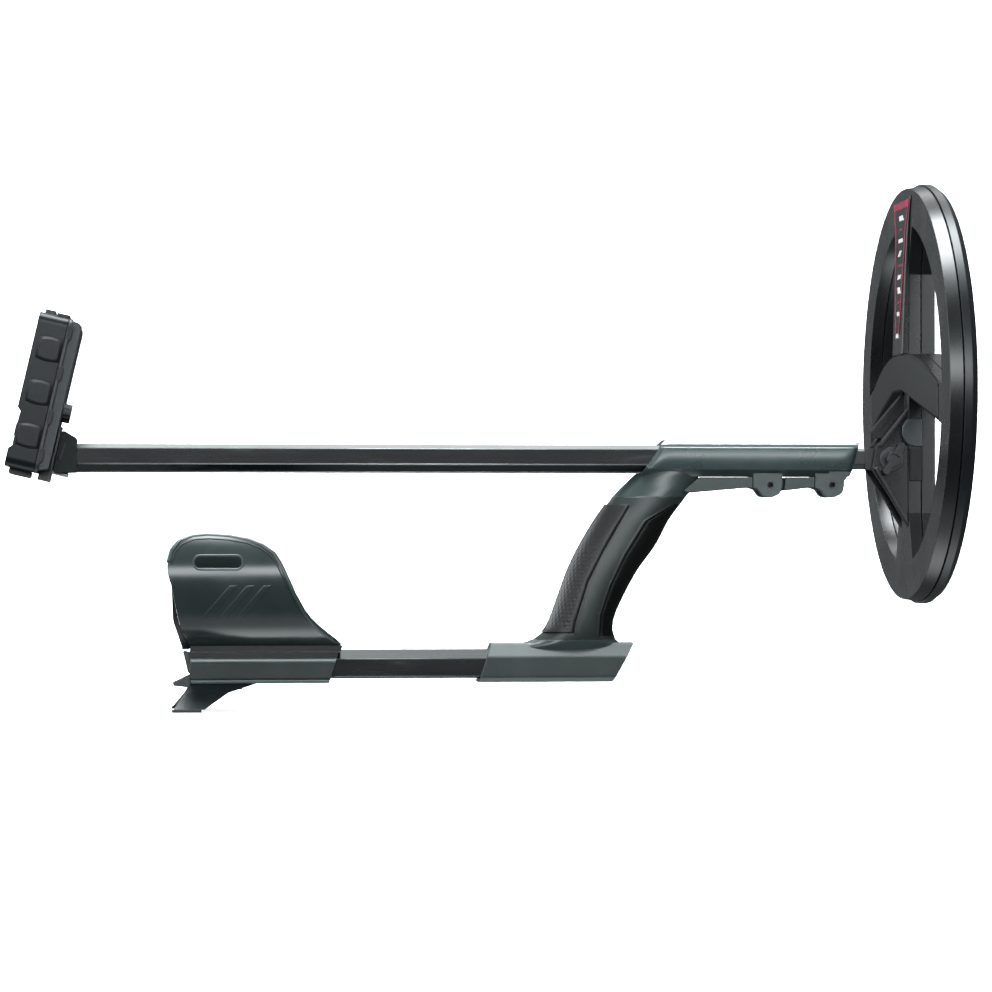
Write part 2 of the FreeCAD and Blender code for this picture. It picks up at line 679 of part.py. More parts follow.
def stand_screws():
    screws = []
    for x in STAND_SCREWS:
        shank = rod_z(x, 0, 15.3, 20.4, 1.45)
        head = rod_z(x, 0, 13.7, 15.35, 2.8)
        screws.append(joined([shank, head]))
    return compound(screws)


def lower_stem_tube():
    tube = prism_x(softened(LEG_SECTION, 0.8), LEG_REAR_X, LEG_FRONT_X)
    return tube.cut(prism_x(grow(LEG_SECTION, -STEM_WALL), LEG_REAR_X - 1, LEG_FRONT_X + 1))


def tube_plugs():
    rear = prism_x(grow(LEG_SECTION, -STEM_WALL - 0.05), LEG_REAR_X + 0.2, LEG_REAR_X + 10)
    front = prism_x(grow(LEG_SECTION, -STEM_WALL - 0.05), LEG_FRONT_X - 16, LEG_FRONT_X - 0.2)
    return compound([rear, front])


# ---------------------------------------------------------------- remote control
def tilted(shape):
    """From the remote's own axes (x thickness, z length) to its place on the stem."""
    turn = Placement(REMOTE_CORNER, Rotation(Vector(0, 1, 0), REMOTE_TILT))
    moved = shape.copy()
    moved.Placement = turn.multiply(moved.Placement)
    return moved


def remote_block(x0, x1, half, z0, z1, radius):
    return prism_x([(-half, z0, radius), (half, z0, radius), (half, z1, radius), (-half, z1, radius)], x0, x1)


KEYS = {"up_key": (0, 32), "down_key": (0, 18), "menu_key": (-14, 25), "enter_key": (14, 25)}
KEY_R = 4.5
KEYPAD_DEPTH = 2.4
KNOB_Z = 42.5
SIDE_PADS = (22.0, 50.8, 79.6)
PAD_HALF = 7.2
REMOTE_SCREWS = [(y, z) for y in (-20, 20) for z in (8, REMOTE_LENGTH - 8)]


def keypad_step(floor, margin):
    """The space in front of the sunken keypad, between the screen and the lower bumper."""
    low, high = 11.5 - margin, 39.0 + margin
    side = [(-2, low), (0, low), (floor, low + 2.5), (floor, high - 2.5), (0, high), (-2, high)]
    return prism_y(side, -40, 40)


def remote_front_shell():
    """Deep front half: the screen's window, the sunken keypad, the side pockets and the ports' openings."""
    half, length = REMOTE_HALF_WIDTH, REMOTE_LENGTH
    outer = remote_block(0, REMOTE_PARTING, half, 0, length, 6).cut(keypad_step(KEYPAD_DEPTH, 0))
    wall = REMOTE_WALL
    inner = remote_block(wall, REMOTE_PARTING + 1, half - wall, wall, length - wall, 4.5)
    inner = inner.cut(keypad_step(KEYPAD_DEPTH + wall, wall))
    shape = outer.cut(inner).cut(remote_block(-1, 3, 24.2, 52.8, 96.2, 2.2))
    for y, z in KEYS.values():
        shape = shape.cut(rod_x(-1, 6, y, z, KEY_R + 0.3))
    for z in SIDE_PADS:
        for side in (-1, 1):
            y0, y1 = sorted((side * (half - 0.9), side * (half + 1)))
            shape = shape.cut(pad_block(z, y0, y1, PAD_HALF + 0.3))
    shape = shape.cut(rod_z(11.8, 15, length - 5, length + 5, 3.2))
    return largest_solid(shape.cut(box(7.6, 13.4, -5.6, 5.6, -1, REMOTE_WALL + 0.5)))


def remote_back_shell():
    """Back half with two broad rails that hold the dock plate between them."""
    half, length = REMOTE_HALF_WIDTH, REMOTE_LENGTH
    outer = remote_block(REMOTE_PARTING + 0.2, REMOTE_THICK, half, 0, length, 6)
    inner = remote_block(REMOTE_PARTING - 1, REMOTE_THICK - REMOTE_WALL, half - REMOTE_WALL, REMOTE_WALL,
                         length - REMOTE_WALL, 4.5)
    front = REMOTE_THICK - 0.5
    rail = [(front, 1.5), (RAIL_BACK, 4.0, 2), (RAIL_BACK, length - 1.5, 4), (front, length - 1.5)]
    rails = []
    for side in (-1, 1):
        y0, y1 = sorted((side * 8.5, side * 27.5))
        rails.append(prism_y(rail, y0, y1))
    crown = box(front, RAIL_BACK - 1, -9, 9, length - 8, length - 2)
    shape = joined([outer.cut(inner), crown] + rails)
    for y, z in REMOTE_SCREWS:
        shape = shape.cut(rod_x(17, RAIL_BACK + 1, y, z, 1.3))
        shape = shape.cut(rod_x(RAIL_BACK - 1.4, RAIL_BACK + 1, y, z, 2.3))
    return largest_solid(shape)


def pad_block(z, y0, y1, half):
    """A rounded square on the side of the remote."""
    middle = 11.4
    low, high = middle - half + 0.2, middle + half - 0.2
    return prism_y([(low, z - half, 2), (high, z - half, 2), (high, z + half, 2), (low, z + half, 2)], y0, y1)


def side_pads():
    pads = []
    for z in SIDE_PADS:
        for side in (-1, 1):
            y0, y1 = sorted((side * (REMOTE_HALF_WIDTH - 0.85), side * (REMOTE_HALF_WIDTH - 0.1)))
            pads.append(pad_block(z, y0, y1, PAD_HALF))
    return compound(pads)


def screen_lens():
    return remote_block(0.3, 1.5, 24.0, 53.0, 96.0, 2.0)


def display_panel():
    return remote_block(2.2, 4.4, 23.0, 54.0, 95.0, 0.5)


def key(y, z):
    """Round key with a flange that keeps it inside the shell."""
    cap = rod_x(1.0, 4.6, y, z, KEY_R)
    flange = rod_x(4.5, 5.2, y, z, KEY_R + 1.0)
    return joined([cap, flange])


def remote_board():
    return box(6.2, 7.4, -27, 27, 4, REMOTE_LENGTH - 4.5)


def remote_battery():
    return box(8.0, 14.0, -20, 20, 46, 85)


def remote_speaker():
    return joined([rod_x(8.0, 11.0, 0, 24, 9.0), rod_x(11.0, 14.5, 0, 24, 5.0)])


def jack_socket():
    """Headphone socket in the top edge, with a plain round bore."""
    body = rod_z(11.8, 15, REMOTE_LENGTH - 14, REMOTE_LENGTH + 2.6, 3.0)
    return body.cut(rod_z(11.8, 15, REMOTE_LENGTH - 12, REMOTE_LENGTH + 5, 1.8))


def top_caps():
    """Two rubber caps on the top edge."""
    first = box(3.0, 9.6, -20, 4, REMOTE_LENGTH + 0.1, REMOTE_LENGTH + 2.8)
    second = box(11.0, 19.4, -24, 8, REMOTE_LENGTH + 0.1, REMOTE_LENGTH + 1.9)
    return compound([first, second])


def port_cover():
    """Cover over the charging port on the bottom edge, hinged at the screen side."""
    return prism_y([(3.0, -0.3, 0.2), (17.5, -0.3, 0.2), (17.5, -4.4, 1.5), (3.0, -4.4, 1.5)], -13, 13)


def charging_port():
    return box(8.2, 12.8, -5, 5, 2.2, 8.0)


def remote_screws():
    screws = []
    for y, z in REMOTE_SCREWS:
        shank = rod_x(REMOTE_THICK - 4.0, RAIL_BACK - 1.2, y, z, 1.2)
        head = rod_x(RAIL_BACK - 1.35, RAIL_BACK - 0.2, y, z, 2.1)
        screws.append(joined([shank, head]))
    return compound(screws)


def dock_screw_cutter(y):
    return joined([rod_x(20, 44, y, 3.0, 1.45), rod_x(20, DOCK_FRONT + 1.5, y, 3.0, 2.7)])


def remote_dock():
    """Plate that slides between the remote's rails, and a foot and a wider back plate on the bracket."""
    plate = box(DOCK_FRONT, 26.8, -8, 8, -4.0, 50)
    foot = box(DOCK_FRONT, DOCK_BACK, -8, 8, -4.0, 12)
    back = box(RAIL_BACK + 0.3, DOCK_BACK, -11.5, 11.5, -4.0, 33)
    shape = joined([plate, foot, back]).cut(rod_x(20, 28, 0, KNOB_Z, 3.06))
    for y in (-4, 4):
        shape = shape.cut(dock_screw_cutter(y))
    return shape


def dock_knob():
    """Fluted knob that locks the remote on its dock."""
    head = rod_x(27.2, 33.6, 0, KNOB_Z, 6.3)
    for i in range(16):
        turn = math.radians(22.5 * i)
        groove = rod_x(26, 35, 6.6 * math.cos(turn), KNOB_Z + 6.6 * math.sin(turn), 0.55)
        head = head.cut(groove)
    return joined([head, rod_x(DOCK_FRONT + 0.3, 27.7, 0, KNOB_Z, 3.0)])


def dock_screws():
    screws = []
    for y in (-4, 4):
        shank = rod_x(DOCK_FRONT + 1.3, 41, y, 3.0, 1.4)
        head = rod_x(DOCK_FRONT + 0.1, DOCK_FRONT + 1.4, y, 3.0, 2.6)
        screws.append(joined([shank, head]))
    return compound(screws)


def stem_bracket():
    """Gusset between the end of the upper stem and the remote's dock."""
    side = [(-271.4, 184.4, 2), (UPPER_REAR_X, 178.6, 2), (UPPER_REAR_X, 156.4), (-277.4, 155.6, 2)]
    shape = prism_y(side, -11.5, 11.5)
    shape = shape.cut(rod_x(-290, UPPER_REAR_X + 1, 0, UPPER_Z, 1.55))
    shape = shape.cut(rod_x(-290, -268.3, 0, UPPER_Z, 3.0))
    for y in (-4, 4):
        shape = shape.cut(tilted(dock_screw_cutter(y)))
    return largest_solid(shape)


def bracket_screw():
    return joined([rod_x(-268.4, -252, 0, UPPER_Z, 1.5), rod_x(-270.6, -268.4, 0, UPPER_Z, 2.8)])


# ---------------------------------------------------------------- every node
def build():
    right_half, left_half = handle_halves()
    overmould, rear_pad, front_pad = grip_parts()
    nodes = {
        "upper_stem_tube": upper_stem_tube(),
        "stem_front_bush": stem_front_bush(),
        "stem_rear_plug": stem_rear_plug(),
        "stem_bracket": stem_bracket(),
        "bracket_screw": bracket_screw(),
        "remote_dock": tilted(remote_dock()),
        "dock_screws": tilted(dock_screws()),
        "dock_knob": tilted(dock_knob()),
        "lower_stem_rod": lower_stem_rod(),
        "rod_rear_guide": rod_rear_guide(),
        "stem_yoke": stem_yoke(),
        "friction_washers": friction_washers(),
        "handle_right_half": right_half,
        "handle_left_half": left_half,
        "handle_screws": handle_screws(),
        "grip_overmould": overmould,
        "grip_rear_pad": rear_pad,
        "grip_front_pad": front_pad,
        "rear_clamp_lever": rear_lever(),
        "front_clamp_lever": front_lever(),
        "lever_pins": lever_pins(),
        "clamp_shoes": clamp_shoes(),
        "lower_stem_tube": lower_stem_tube(),
        "tube_plugs": tube_plugs(),
        "cuff_shell": cuff_shell(),
        "cuff_edge_trim": cuff_edge_trim(),
        "cuff_base": cuff_base(),
        "cuff_base_screws": base_screws(),
        "tube_end_cap": tube_end_cap(),
        "cuff_stand": cuff_stand(),
        "stand_feet": stand_feet(),
        "stand_screws": stand_screws(),
        "coil_body_shell": coil_body_shell(),
        "coil_skid_cover": coil_skid_cover(),
        "transmit_winding": winding(COIL_FACE_X + 2.6, 1),
        "receive_winding": winding(COIL_FACE_X + 5.2, -1),
        "coil_board": coil_board(),
        "coil_battery": coil_battery(),
        "cover_screws": cover_screws(),
        "spine_decal": spine_decal(),
        "hinge_bolt": hinge_bolt(),
        "bolt_washer": bolt_washer(),
        "wing_nut": wing_nut(),
        "remote_front_shell": tilted(remote_front_shell()),
        "remote_back_shell": tilted(remote_back_shell()),
        "remote_side_pads": tilted(side_pads()),
        "screen_lens": tilted(screen_lens()),
        "display_panel": tilted(display_panel()),
        "remote_board": tilted(remote_board()),
        "remote_battery": tilted(remote_battery()),
        "remote_speaker": tilted(remote_speaker()),
        "jack_socket": tilted(jack_socket()),
        "top_port_caps": tilted(top_caps()),
        "port_cover": tilted(port_cover()),
        "charging_port": tilted(charging_port()),
        "remote_screws": tilted(remote_screws()),
    }
    for name, (y, z) in KEYS.items():
        nodes[name] = tilted(key(y, z))
    return nodes


def main():
    os.makedirs("parts", exist_ok=True)
    for name, shape in build().items():
        shape.exportStep("parts/" + name + ".step")


main()
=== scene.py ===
import json
import math
import random
import bpy
import bmesh
from mathutils import Matrix, Vector


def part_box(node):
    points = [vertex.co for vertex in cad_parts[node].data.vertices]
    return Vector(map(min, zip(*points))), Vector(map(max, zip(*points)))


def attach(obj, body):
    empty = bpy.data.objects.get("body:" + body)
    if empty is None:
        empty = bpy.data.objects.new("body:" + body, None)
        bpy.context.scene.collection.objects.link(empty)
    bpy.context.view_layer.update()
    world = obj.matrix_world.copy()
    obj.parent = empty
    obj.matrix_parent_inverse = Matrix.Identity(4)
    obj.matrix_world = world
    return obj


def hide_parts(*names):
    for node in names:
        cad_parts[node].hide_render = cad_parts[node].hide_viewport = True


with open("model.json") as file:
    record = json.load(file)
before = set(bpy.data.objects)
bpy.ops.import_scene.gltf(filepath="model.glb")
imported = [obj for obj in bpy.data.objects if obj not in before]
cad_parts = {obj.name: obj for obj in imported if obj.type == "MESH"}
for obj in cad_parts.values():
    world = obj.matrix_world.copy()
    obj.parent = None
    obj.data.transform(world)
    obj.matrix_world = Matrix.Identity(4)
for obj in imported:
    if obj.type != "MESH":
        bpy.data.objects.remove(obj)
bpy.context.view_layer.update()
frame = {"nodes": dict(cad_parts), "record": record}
random.seed(7)
MM = 0.001


# ---------------------------------------------------------------- materials
def rgb(code):
    """Linear colour from a hex code."""
    out = []
    for i in (0, 2, 4):
        v = int(code[i:i + 2], 16) / 255
        out.append(v / 12.92 if v <= 0.04045 else ((v + 0.055) / 1.055) ** 2.4)
    return out + [1.0]


class Look:
    """A material under construction, with the few node chains that the looks share."""

    def __init__(self, name):
        self.material = bpy.data.materials.new(name)
        self.material.use_nodes = True
        self.tree = self.material.node_tree
        self.tree.nodes.clear()
        out = self.node("ShaderNodeOutputMaterial")
        self.shader = self.node("ShaderNodeBsdfPrincipled")
        self.link(self.shader.outputs["BSDF"], out.inputs["Surface"])
        self.place = self.node("ShaderNodeTexCoord").outputs["Object"]

    def node(self, kind, **values):
        made = self.tree.nodes.new(kind)
        for key, value in values.items():
            if key in made.inputs:
                made.inputs[key].default_value = value
            else:
                setattr(made, key, value)
        return made

    def link(self, a, b):
        self.tree.links.new(a, b)

    def stretched(self, scale):
        mapping = self.node("ShaderNodeMapping")
        mapping.inputs["Scale"].default_value = scale
        self.link(self.place, mapping.inputs["Vector"])
        return mapping.outputs["Vector"]

    def noise(self, scale, detail=3.0, rough=0.55, where=None, distortion=0.0):
        made = self.node("ShaderNodeTexNoise", Scale=scale, Detail=detail, Roughness=rough, Distortion=distortion)
        self.link(where or self.place, made.inputs["Vector"])
        return made.outputs["Fac"]

    def cells(self, scale, feature="F1", where=None, randomness=1.0):
        made = self.node("ShaderNodeTexVoronoi", Scale=scale, Randomness=randomness)
        made.feature = feature
        self.link(where or self.place, made.inputs["Vector"])
        return made.outputs["Distance"]

    def ramp(self, fac, low, high, a=0.0, b=1.0):
        made = self.node("ShaderNodeMapRange")
        made.interpolation_type = "SMOOTHSTEP"
        made.inputs["From Min"].default_value = low
        made.inputs["From Max"].default_value = high
        made.inputs["To Min"].default_value = a
        made.inputs["To Max"].default_value = b
        self.link(fac, made.inputs["Value"])
        return made.outputs["Result"]

    def math(self, kind, a, b):
        made = self.node("ShaderNodeMath")
        made.operation = kind
        for i, v in enumerate((a, b)):
            if isinstance(v, (int, float)):
                made.inputs[i].default_value = v
            else:
                self.link(v, made.inputs[i])
        return made.outputs[0]

    def mixed(self, fac, a, b):
        made = self.node("ShaderNodeMix")
        made.data_type = "RGBA"
        sockets = {s.identifier: s for s in made.inputs}
        if isinstance(fac, (int, float)):
            sockets["Factor_Float"].default_value = fac
        else:
            self.link(fac, sockets["Factor_Float"])
        for key, v in (("A_Color", a), ("B_Color", b)):
            if isinstance(v, (list, tuple)):
                sockets[key].default_value = v
            else:
                self.link(v, sockets[key])
        return [s for s in made.outputs if s.identifier == "Result_Color"][0]

    def edges(self, radius):
        """Rounded normal, and a mask that is 1 on sharp outer edges."""
        bevel = self.node("ShaderNodeBevel", Radius=radius)
        bevel.samples = 4
        true = self.node("ShaderNodeNewGeometry").outputs["Normal"]
        dot = self.node("ShaderNodeVectorMath")
        dot.operation = "DOT_PRODUCT"
        self.link(bevel.outputs["Normal"], dot.inputs[0])
        self.link(true, dot.inputs[1])
        return bevel.outputs["Normal"], self.ramp(dot.outputs["Value"], 0.995, 0.86)

    def bump(self, height, strength, distance, normal=None):
        made = self.node("ShaderNodeBump", Strength=strength, Distance=distance)
        self.link(height, made.inputs["Height"])
        if normal is not None:
            self.link(normal, made.inputs["Normal"])
        return made.outputs["Normal"]


def moulded(name, base, light, rough, grain=0.5, grain_size=0.35, edge=0.5, round_mm=0.5, scratch=0.5, metal=0.0,
            coat=0.0, specular=0.5):
    """Moulded plastic or rubber: cloudy tone, fine grain, hair scratches and lighter worn edges."""
    look = Look(name)
    cloud = look.noise(28, 4)
    fine = look.noise(1.0 / (grain_size * MM), 2)
    smear = look.noise(140, 4, where=look.stretched((0.5, 1.6, 1.0)), distortion=0.8)
    lines = look.math("ABSOLUTE", look.math("SUBTRACT", look.noise(130, 1, where=look.stretched((0.2, 1.6, 1.6))), 0.6), 0)
    hair = look.math("MULTIPLY", look.ramp(lines, 0.008, 0.002), look.ramp(smear, 0.5, 0.6))
    normal, worn = look.edges(round_mm * MM)
    tone = look.mixed(look.ramp(cloud, 0.3, 0.75), rgb(base), rgb(light))
    tone = look.mixed(look.math("MULTIPLY", look.ramp(fine, 0.35, 0.7), 0.25 * grain), tone, rgb(light))
    broken = look.math("MULTIPLY", worn, look.ramp(smear, 0.35, 0.6))
    pale = [min(1.0, c * 2.2 + 0.012) for c in rgb(light)[:3]] + [1.0]
    tone = look.mixed(look.math("MULTIPLY", broken, edge), tone, pale)
    tone = look.mixed(look.math("MULTIPLY", hair, 0.1 * scratch), tone, pale)
    look.link(tone, look.shader.inputs["Base Color"])
    look.link(look.ramp(cloud, 0.3, 0.75, rough - 0.015, rough + 0.03), look.shader.inputs["Roughness"])
    look.shader.inputs["Metallic"].default_value = metal
    look.shader.inputs["Coat Weight"].default_value = coat
    look.shader.inputs["Coat Roughness"].default_value = 0.25
    look.shader.inputs["Specular IOR Level"].default_value = specular
    look.link(look.bump(fine, 0.35 * grain, 0.12 * MM, normal), look.shader.inputs["Normal"])
    return look.material


def anodised(name, base, light, rough):
    """Satin metal tube: fine drawn lines along X, with small dull rubs."""
    look = Look(name)
    drawn = look.noise(900, 2, where=look.stretched((0.01, 1.0, 1.0)))
    rub = look.noise(60, 5, where=look.stretched((0.25, 1.0, 1.0)), distortion=0.6)
    normal, worn = look.edges(0.45 * MM)
    tone = look.mixed(look.ramp(drawn, 0.35, 0.65), rgb(base), rgb(light))
    # Sharp edges pale towards light grey: partly edge wear, partly a painted edge highlight.
    tone = look.mixed(look.math("MULTIPLY", worn, 0.85), tone, rgb("c3c9ca"))
    tone = look.mixed(look.math("MULTIPLY", look.ramp(rub, 0.6, 0.72), 0.05), tone, rgb("8d9495"))
    look.link(tone, look.shader.inputs["Base Color"])
    look.link(look.ramp(rub, 0.35, 0.7, rough, rough + 0.06), look.shader.inputs["Roughness"])
    look.shader.inputs["Metallic"].default_value = 0.05
    look.shader.inputs["Specular IOR Level"].default_value = 0.24
    look.link(look.bump(drawn, 0.25, 0.05 * MM, normal), look.shader.inputs["Normal"])
    return look.material


def steel(name, base, rough):
    look = Look(name)
    spin = look.noise(1400, 3)
    normal, worn = look.edges(0.25 * MM)
    tone = look.mixed(look.ramp(spin, 0.3, 0.7), rgb(base), [min(1.0, c * 1.35) for c in rgb(base)[:3]] + [1.0])
    look.link(look.mixed(look.math("MULTIPLY", worn, 0.4), tone, rgb("d8dada")), look.shader.inputs["Base Color"])
    look.link(look.ramp(spin, 0.3, 0.7, rough, rough + 0.15), look.shader.inputs["Roughness"])
    look.shader.inputs["Metallic"].default_value = 1.0
    look.link(look.bump(spin, 0.2, 0.04 * MM, normal), look.shader.inputs["Normal"])
    return look.material


def winding_look(name):
    """Enamelled copper wire, wound round the ring."""
    look = Look(name)
    strands = look.noise(2600, 1, where=look.stretched((1.0, 0.05, 0.05)))
    tone = look.mixed(look.ramp(strands, 0.4, 0.6), rgb("7a3b1c"), rgb("c8713a"))
    look.link(tone, look.shader.inputs["Base Color"])
    look.link(look.ramp(strands, 0.4, 0.6, 0.25, 0.45), look.shader.inputs["Roughness"])
    look.shader.inputs["Metallic"].default_value = 0.8
    look.link(look.bump(strands, 0.6, 0.2 * MM), look.shader.inputs["Normal"])
    return look.material


def board_look(name):
    """Solder mask with copper tracks under it."""
    look = Look(name)
    tracks = look.cells(420, "DISTANCE_TO_EDGE", randomness=0.35)
    fine = look.noise(900, 2)
    tone = look.mixed(look.ramp(tracks, 0.06, 0.1), rgb("2f7a4c"), rgb("14512e"))
    tone = look.mixed(look.ramp(fine, 0.62, 0.7), tone, rgb("b9a15a"))
    look.link(tone, look.shader.inputs["Base Color"])
    look.link(look.ramp(fine, 0.3, 0.7, 0.28, 0.45), look.shader.inputs["Roughness"])
    look.link(look.bump(tracks, 0.3, 0.05 * MM), look.shader.inputs["Normal"])
    return look.material


def glassy(name):
    """Tinted lens over the screen, with faint fingerprints."""
    look = Look(name)
    prints = look.noise(260, 5, distortion=2.0)
    normal, worn = look.edges(0.5 * MM)
    look.link(look.mixed(look.ramp(prints, 0.45, 0.7), rgb("15191c"), rgb("20262a")), look.shader.inputs["Base Color"])
    look.link(look.ramp(prints, 0.45, 0.7, 0.05, 0.16), look.shader.inputs["Roughness"])
    look.shader.inputs["Transmission Weight"].default_value = 0.55
    look.shader.inputs["IOR"].default_value = 1.49
    look.link(look.bump(prints, 0.04, 0.05 * MM, normal), look.shader.inputs["Normal"])
    return look.material


LOOKS = {
    "handle_plastic": moulded("handle_plastic", "2c3635", "364241", 0.3, grain=0.5, grain_size=0.3, edge=0.45,
                              round_mm=0.7, scratch=0.2),
    "grip_rubber": moulded("grip_rubber", "08090a", "101213", 0.4, grain=0.9, grain_size=0.28, edge=0.25,
                           round_mm=0.5, scratch=0.15, specular=0.4),
    "stem_alloy": anodised("stem_alloy", "0b0c0d", "111314", 0.24),
    "stem_plastic": moulded("stem_plastic", "101213", "1b1e20", 0.4, grain=0.6, edge=0.4, round_mm=0.4),
    "rod_composite": moulded("rod_composite", "141718", "202426", 0.35, grain=0.5, edge=0.4, round_mm=0.5),
    "coil_plastic": moulded("coil_plastic", "090c0d", "0f1314", 0.27, grain=0.08, grain_size=0.3, edge=0.4,
                            round_mm=0.7, scratch=0.05),
    "skid_plastic": moulded("skid_plastic", "0a0e10", "101518", 0.32, grain=0.25, grain_size=0.35, edge=0.45,
                            round_mm=0.9, scratch=0.25, specular=0.42),
    "copper": winding_look("copper"),
    "circuit_board": board_look("circuit_board"),
    "battery_wrap": moulded("battery_wrap", "17406f", "20538c", 0.25, grain=0.2, edge=0.2),
    "steel": steel("steel", "9a9d9e", 0.25),
    "dark_steel": steel("dark_steel", "3a3c3d", 0.35),
    "decal": moulded("decal", "0e1112", "161a1b", 0.25, grain=0.2, edge=0.1, round_mm=0.2, scratch=0.6),
    "remote_plastic": moulded("remote_plastic", "0a0e11", "11171b", 0.3, grain=0.5, grain_size=0.3, edge=0.5,
                              round_mm=1.4, scratch=0.2, specular=0.22),
    "lens": glassy("lens"),
    "display": moulded("display", "23302b", "2c3b35", 0.2, grain=0.2, edge=0.1),
    "key_rubber": moulded("key_rubber", "24282c", "30353a", 0.45, grain=0.9, edge=0.3),
}
LOOKS["grip_smooth"] = moulded("grip_smooth", "1e2322", "262c2b", 0.38, grain=0.6, grain_size=0.25, edge=0.2,
                               scratch=0.2, specular=0.4)
# Darker copy of the grip rubber for the front pad: painted shade.
LOOKS["grip_front"] = moulded("grip_front", "050606", "0a0b0b", 0.45, grain=0.9, grain_size=0.28, edge=0.2,
                              scratch=0.15, specular=0.2)
LOOKS["cuff_plastic"] = moulded("cuff_plastic", "242c2c", "2b3434", 0.2, grain=0.2, grain_size=0.3, edge=0.3,
                                round_mm=0.7, scratch=0.15)
LOOKS["base_plastic"] = moulded("base_plastic", "1a2120", "222a29", 0.3, grain=0.3, grain_size=0.3, edge=0.4,
                                round_mm=0.7, scratch=0.2, specular=0.36)
LOOKS["lever_plastic"] = moulded("lever_plastic", "232b2a", "2b3433", 0.32, grain=0.3, grain_size=0.3, edge=0.4,
                                 round_mm=0.7, scratch=0.2, specular=0.42)
# Lighter copy of the base plastic for the beads along the cuff base: painted highlights.
LOOKS["base_painted_highlight"] = moulded("base_painted_highlight", "46514f", "55615f", 0.24, grain=0.2, edge=0.2, scratch=0.2)
LOOKS["arch_plastic"] = moulded("arch_plastic", "06080a", "0b0e0f", 0.5, grain=0.2, edge=0.3, scratch=0.2, specular=0.1)
LOOKS["stand_plastic"] = moulded("stand_plastic", "10161a", "181f22", 0.36, grain=0.5, edge=0.5, scratch=0.3)
LOOKS["bracket_plastic"] = moulded("bracket_plastic", "0b1010", "101717", 0.34, grain=0.5, edge=0.4, scratch=0.2,
                                   specular=0.12)
# Lighter copy of the sleeve plastic for the upper sleeve's side panels: painted light.
LOOKS["sleeve_lit_copy"] = moulded("sleeve_lit_copy", "343f40", "3e4a4b", 0.28, grain=0.5, edge=0.3, scratch=0.2)
# Darker copy of the sleeve plastic for the lower sleeve's side: painted shade.
LOOKS["sleeve_shaded_copy"] = moulded("sleeve_shaded_copy", "1c2424", "242c2b", 0.3, grain=0.3, edge=0.3, scratch=0.1, specular=0.4)
# Pale copy of the sleeve plastic for strips on the top chamfer: painted highlight.
LOOKS["sleeve_crest_highlight"] = moulded("sleeve_crest_highlight", "6a7879", "7b8a8b", 0.2, grain=0.3, edge=0.2, scratch=0.15)
LOOKS["remote_grey"] = moulded("remote_grey", "212628", "2a3032", 0.4, grain=0.6, edge=0.4, round_mm=0.8, scratch=0.2,
                               specular=0.35)
LOOKS["hub_grey"] = moulded("hub_grey", "262c2e", "30373a", 0.36, grain=0.5, edge=0.4, round_mm=0.8, scratch=0.2)
# Light grey for thin lines along the tube edges: painted highlight lines.
LOOKS["tube_edge_highlight"] = moulded("tube_edge_highlight", "6d7273", "8b9091", 0.3, grain=0.3, edge=0.2, round_mm=0.1, metal=0.4)
LOOKS["tube_line_highlight"] = moulded("tube_line_highlight", "3d4243", "4c5152", 0.3, grain=0.3, edge=0.2, round_mm=0.1, metal=0.3)
# Near-black for real gaps and slots, and also for sheets laid as painted shade: under the cuff's curve, in the base
# groove and under the hub.
LOOKS["gap_and_shade_black"] = moulded("gap_and_shade_black", "040505", "070808", 0.6, grain=0.3, edge=0.0, round_mm=0.2)
LOOKS["coil_black"] = moulded("coil_black", "060707", "0b0c0d", 0.4, grain=0.6, edge=0.3, round_mm=0.4)
LOOKS["decal_red"] = moulded("decal_red", "7d1a30", "962643", 0.25, grain=0.2, edge=0.15, round_mm=0.15, scratch=0.8)
LOOKS["decal_white"] = moulded("decal_white", "c9c6c6", "dedcdb", 0.25, grain=0.2, edge=0.05, round_mm=0.15,
                               scratch=0.8)
SLOT_OF = {p["node"]: p["material_slot"] for p in frame["record"]["subparts"]}


def dress(thing, slot):
    thing.data.materials.clear()
    thing.data.materials.append(LOOKS[slot])


OWN_LOOK = {"cuff_shell": "cuff_plastic", "cuff_stand": "stand_plastic", "remote_back_shell": "remote_grey",
            "stem_bracket": "bracket_plastic", "cuff_base": "base_plastic", "grip_front_pad": "grip_front",
            "rear_clamp_lever": "lever_plastic", "front_clamp_lever": "lever_plastic"}
for node, thing in frame["nodes"].items():
    dress(thing, OWN_LOOK.get(node, SLOT_OF[node]))


# ---------------------------------------------------------------- mesh helpers
def new_piece(name, points, faces, body, slot, smooth=True, replaces=()):
    mesh = bpy.data.meshes.new(name)
    mesh.from_pydata([tuple(p) for p in points], [], faces)
    mesh.validate()
    made = bpy.data.objects.new(name, mesh)
    bpy.context.scene.collection.objects.link(made)
    tidy = bmesh.new()
    tidy.from_mesh(mesh)
    bmesh.ops.recalc_face_normals(tidy, faces=tidy.faces)
    tidy.to_mesh(mesh)
    tidy.free()
    mesh.polygons.foreach_set("use_smooth", [smooth] * len(mesh.polygons))
    mesh.materials.append(LOOKS[slot])
    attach(made, body)
    if replaces:
        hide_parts(*replaces)
    return made


def rounded(made, width, segments=3, angle=35):
    """Real rounded edges, by a bevel on every sharp edge."""
    bevel = made.modifiers.new("rounded", "BEVEL")
    bevel.width = width * MM
    bevel.segments = segments
    bevel.limit_method = "ANGLE"
    bevel.angle_limit = math.radians(angle)
    bevel.harden_normals = False
    made.modifiers.new("shading", "WEIGHTED_NORMAL").keep_sharp = False
    return made


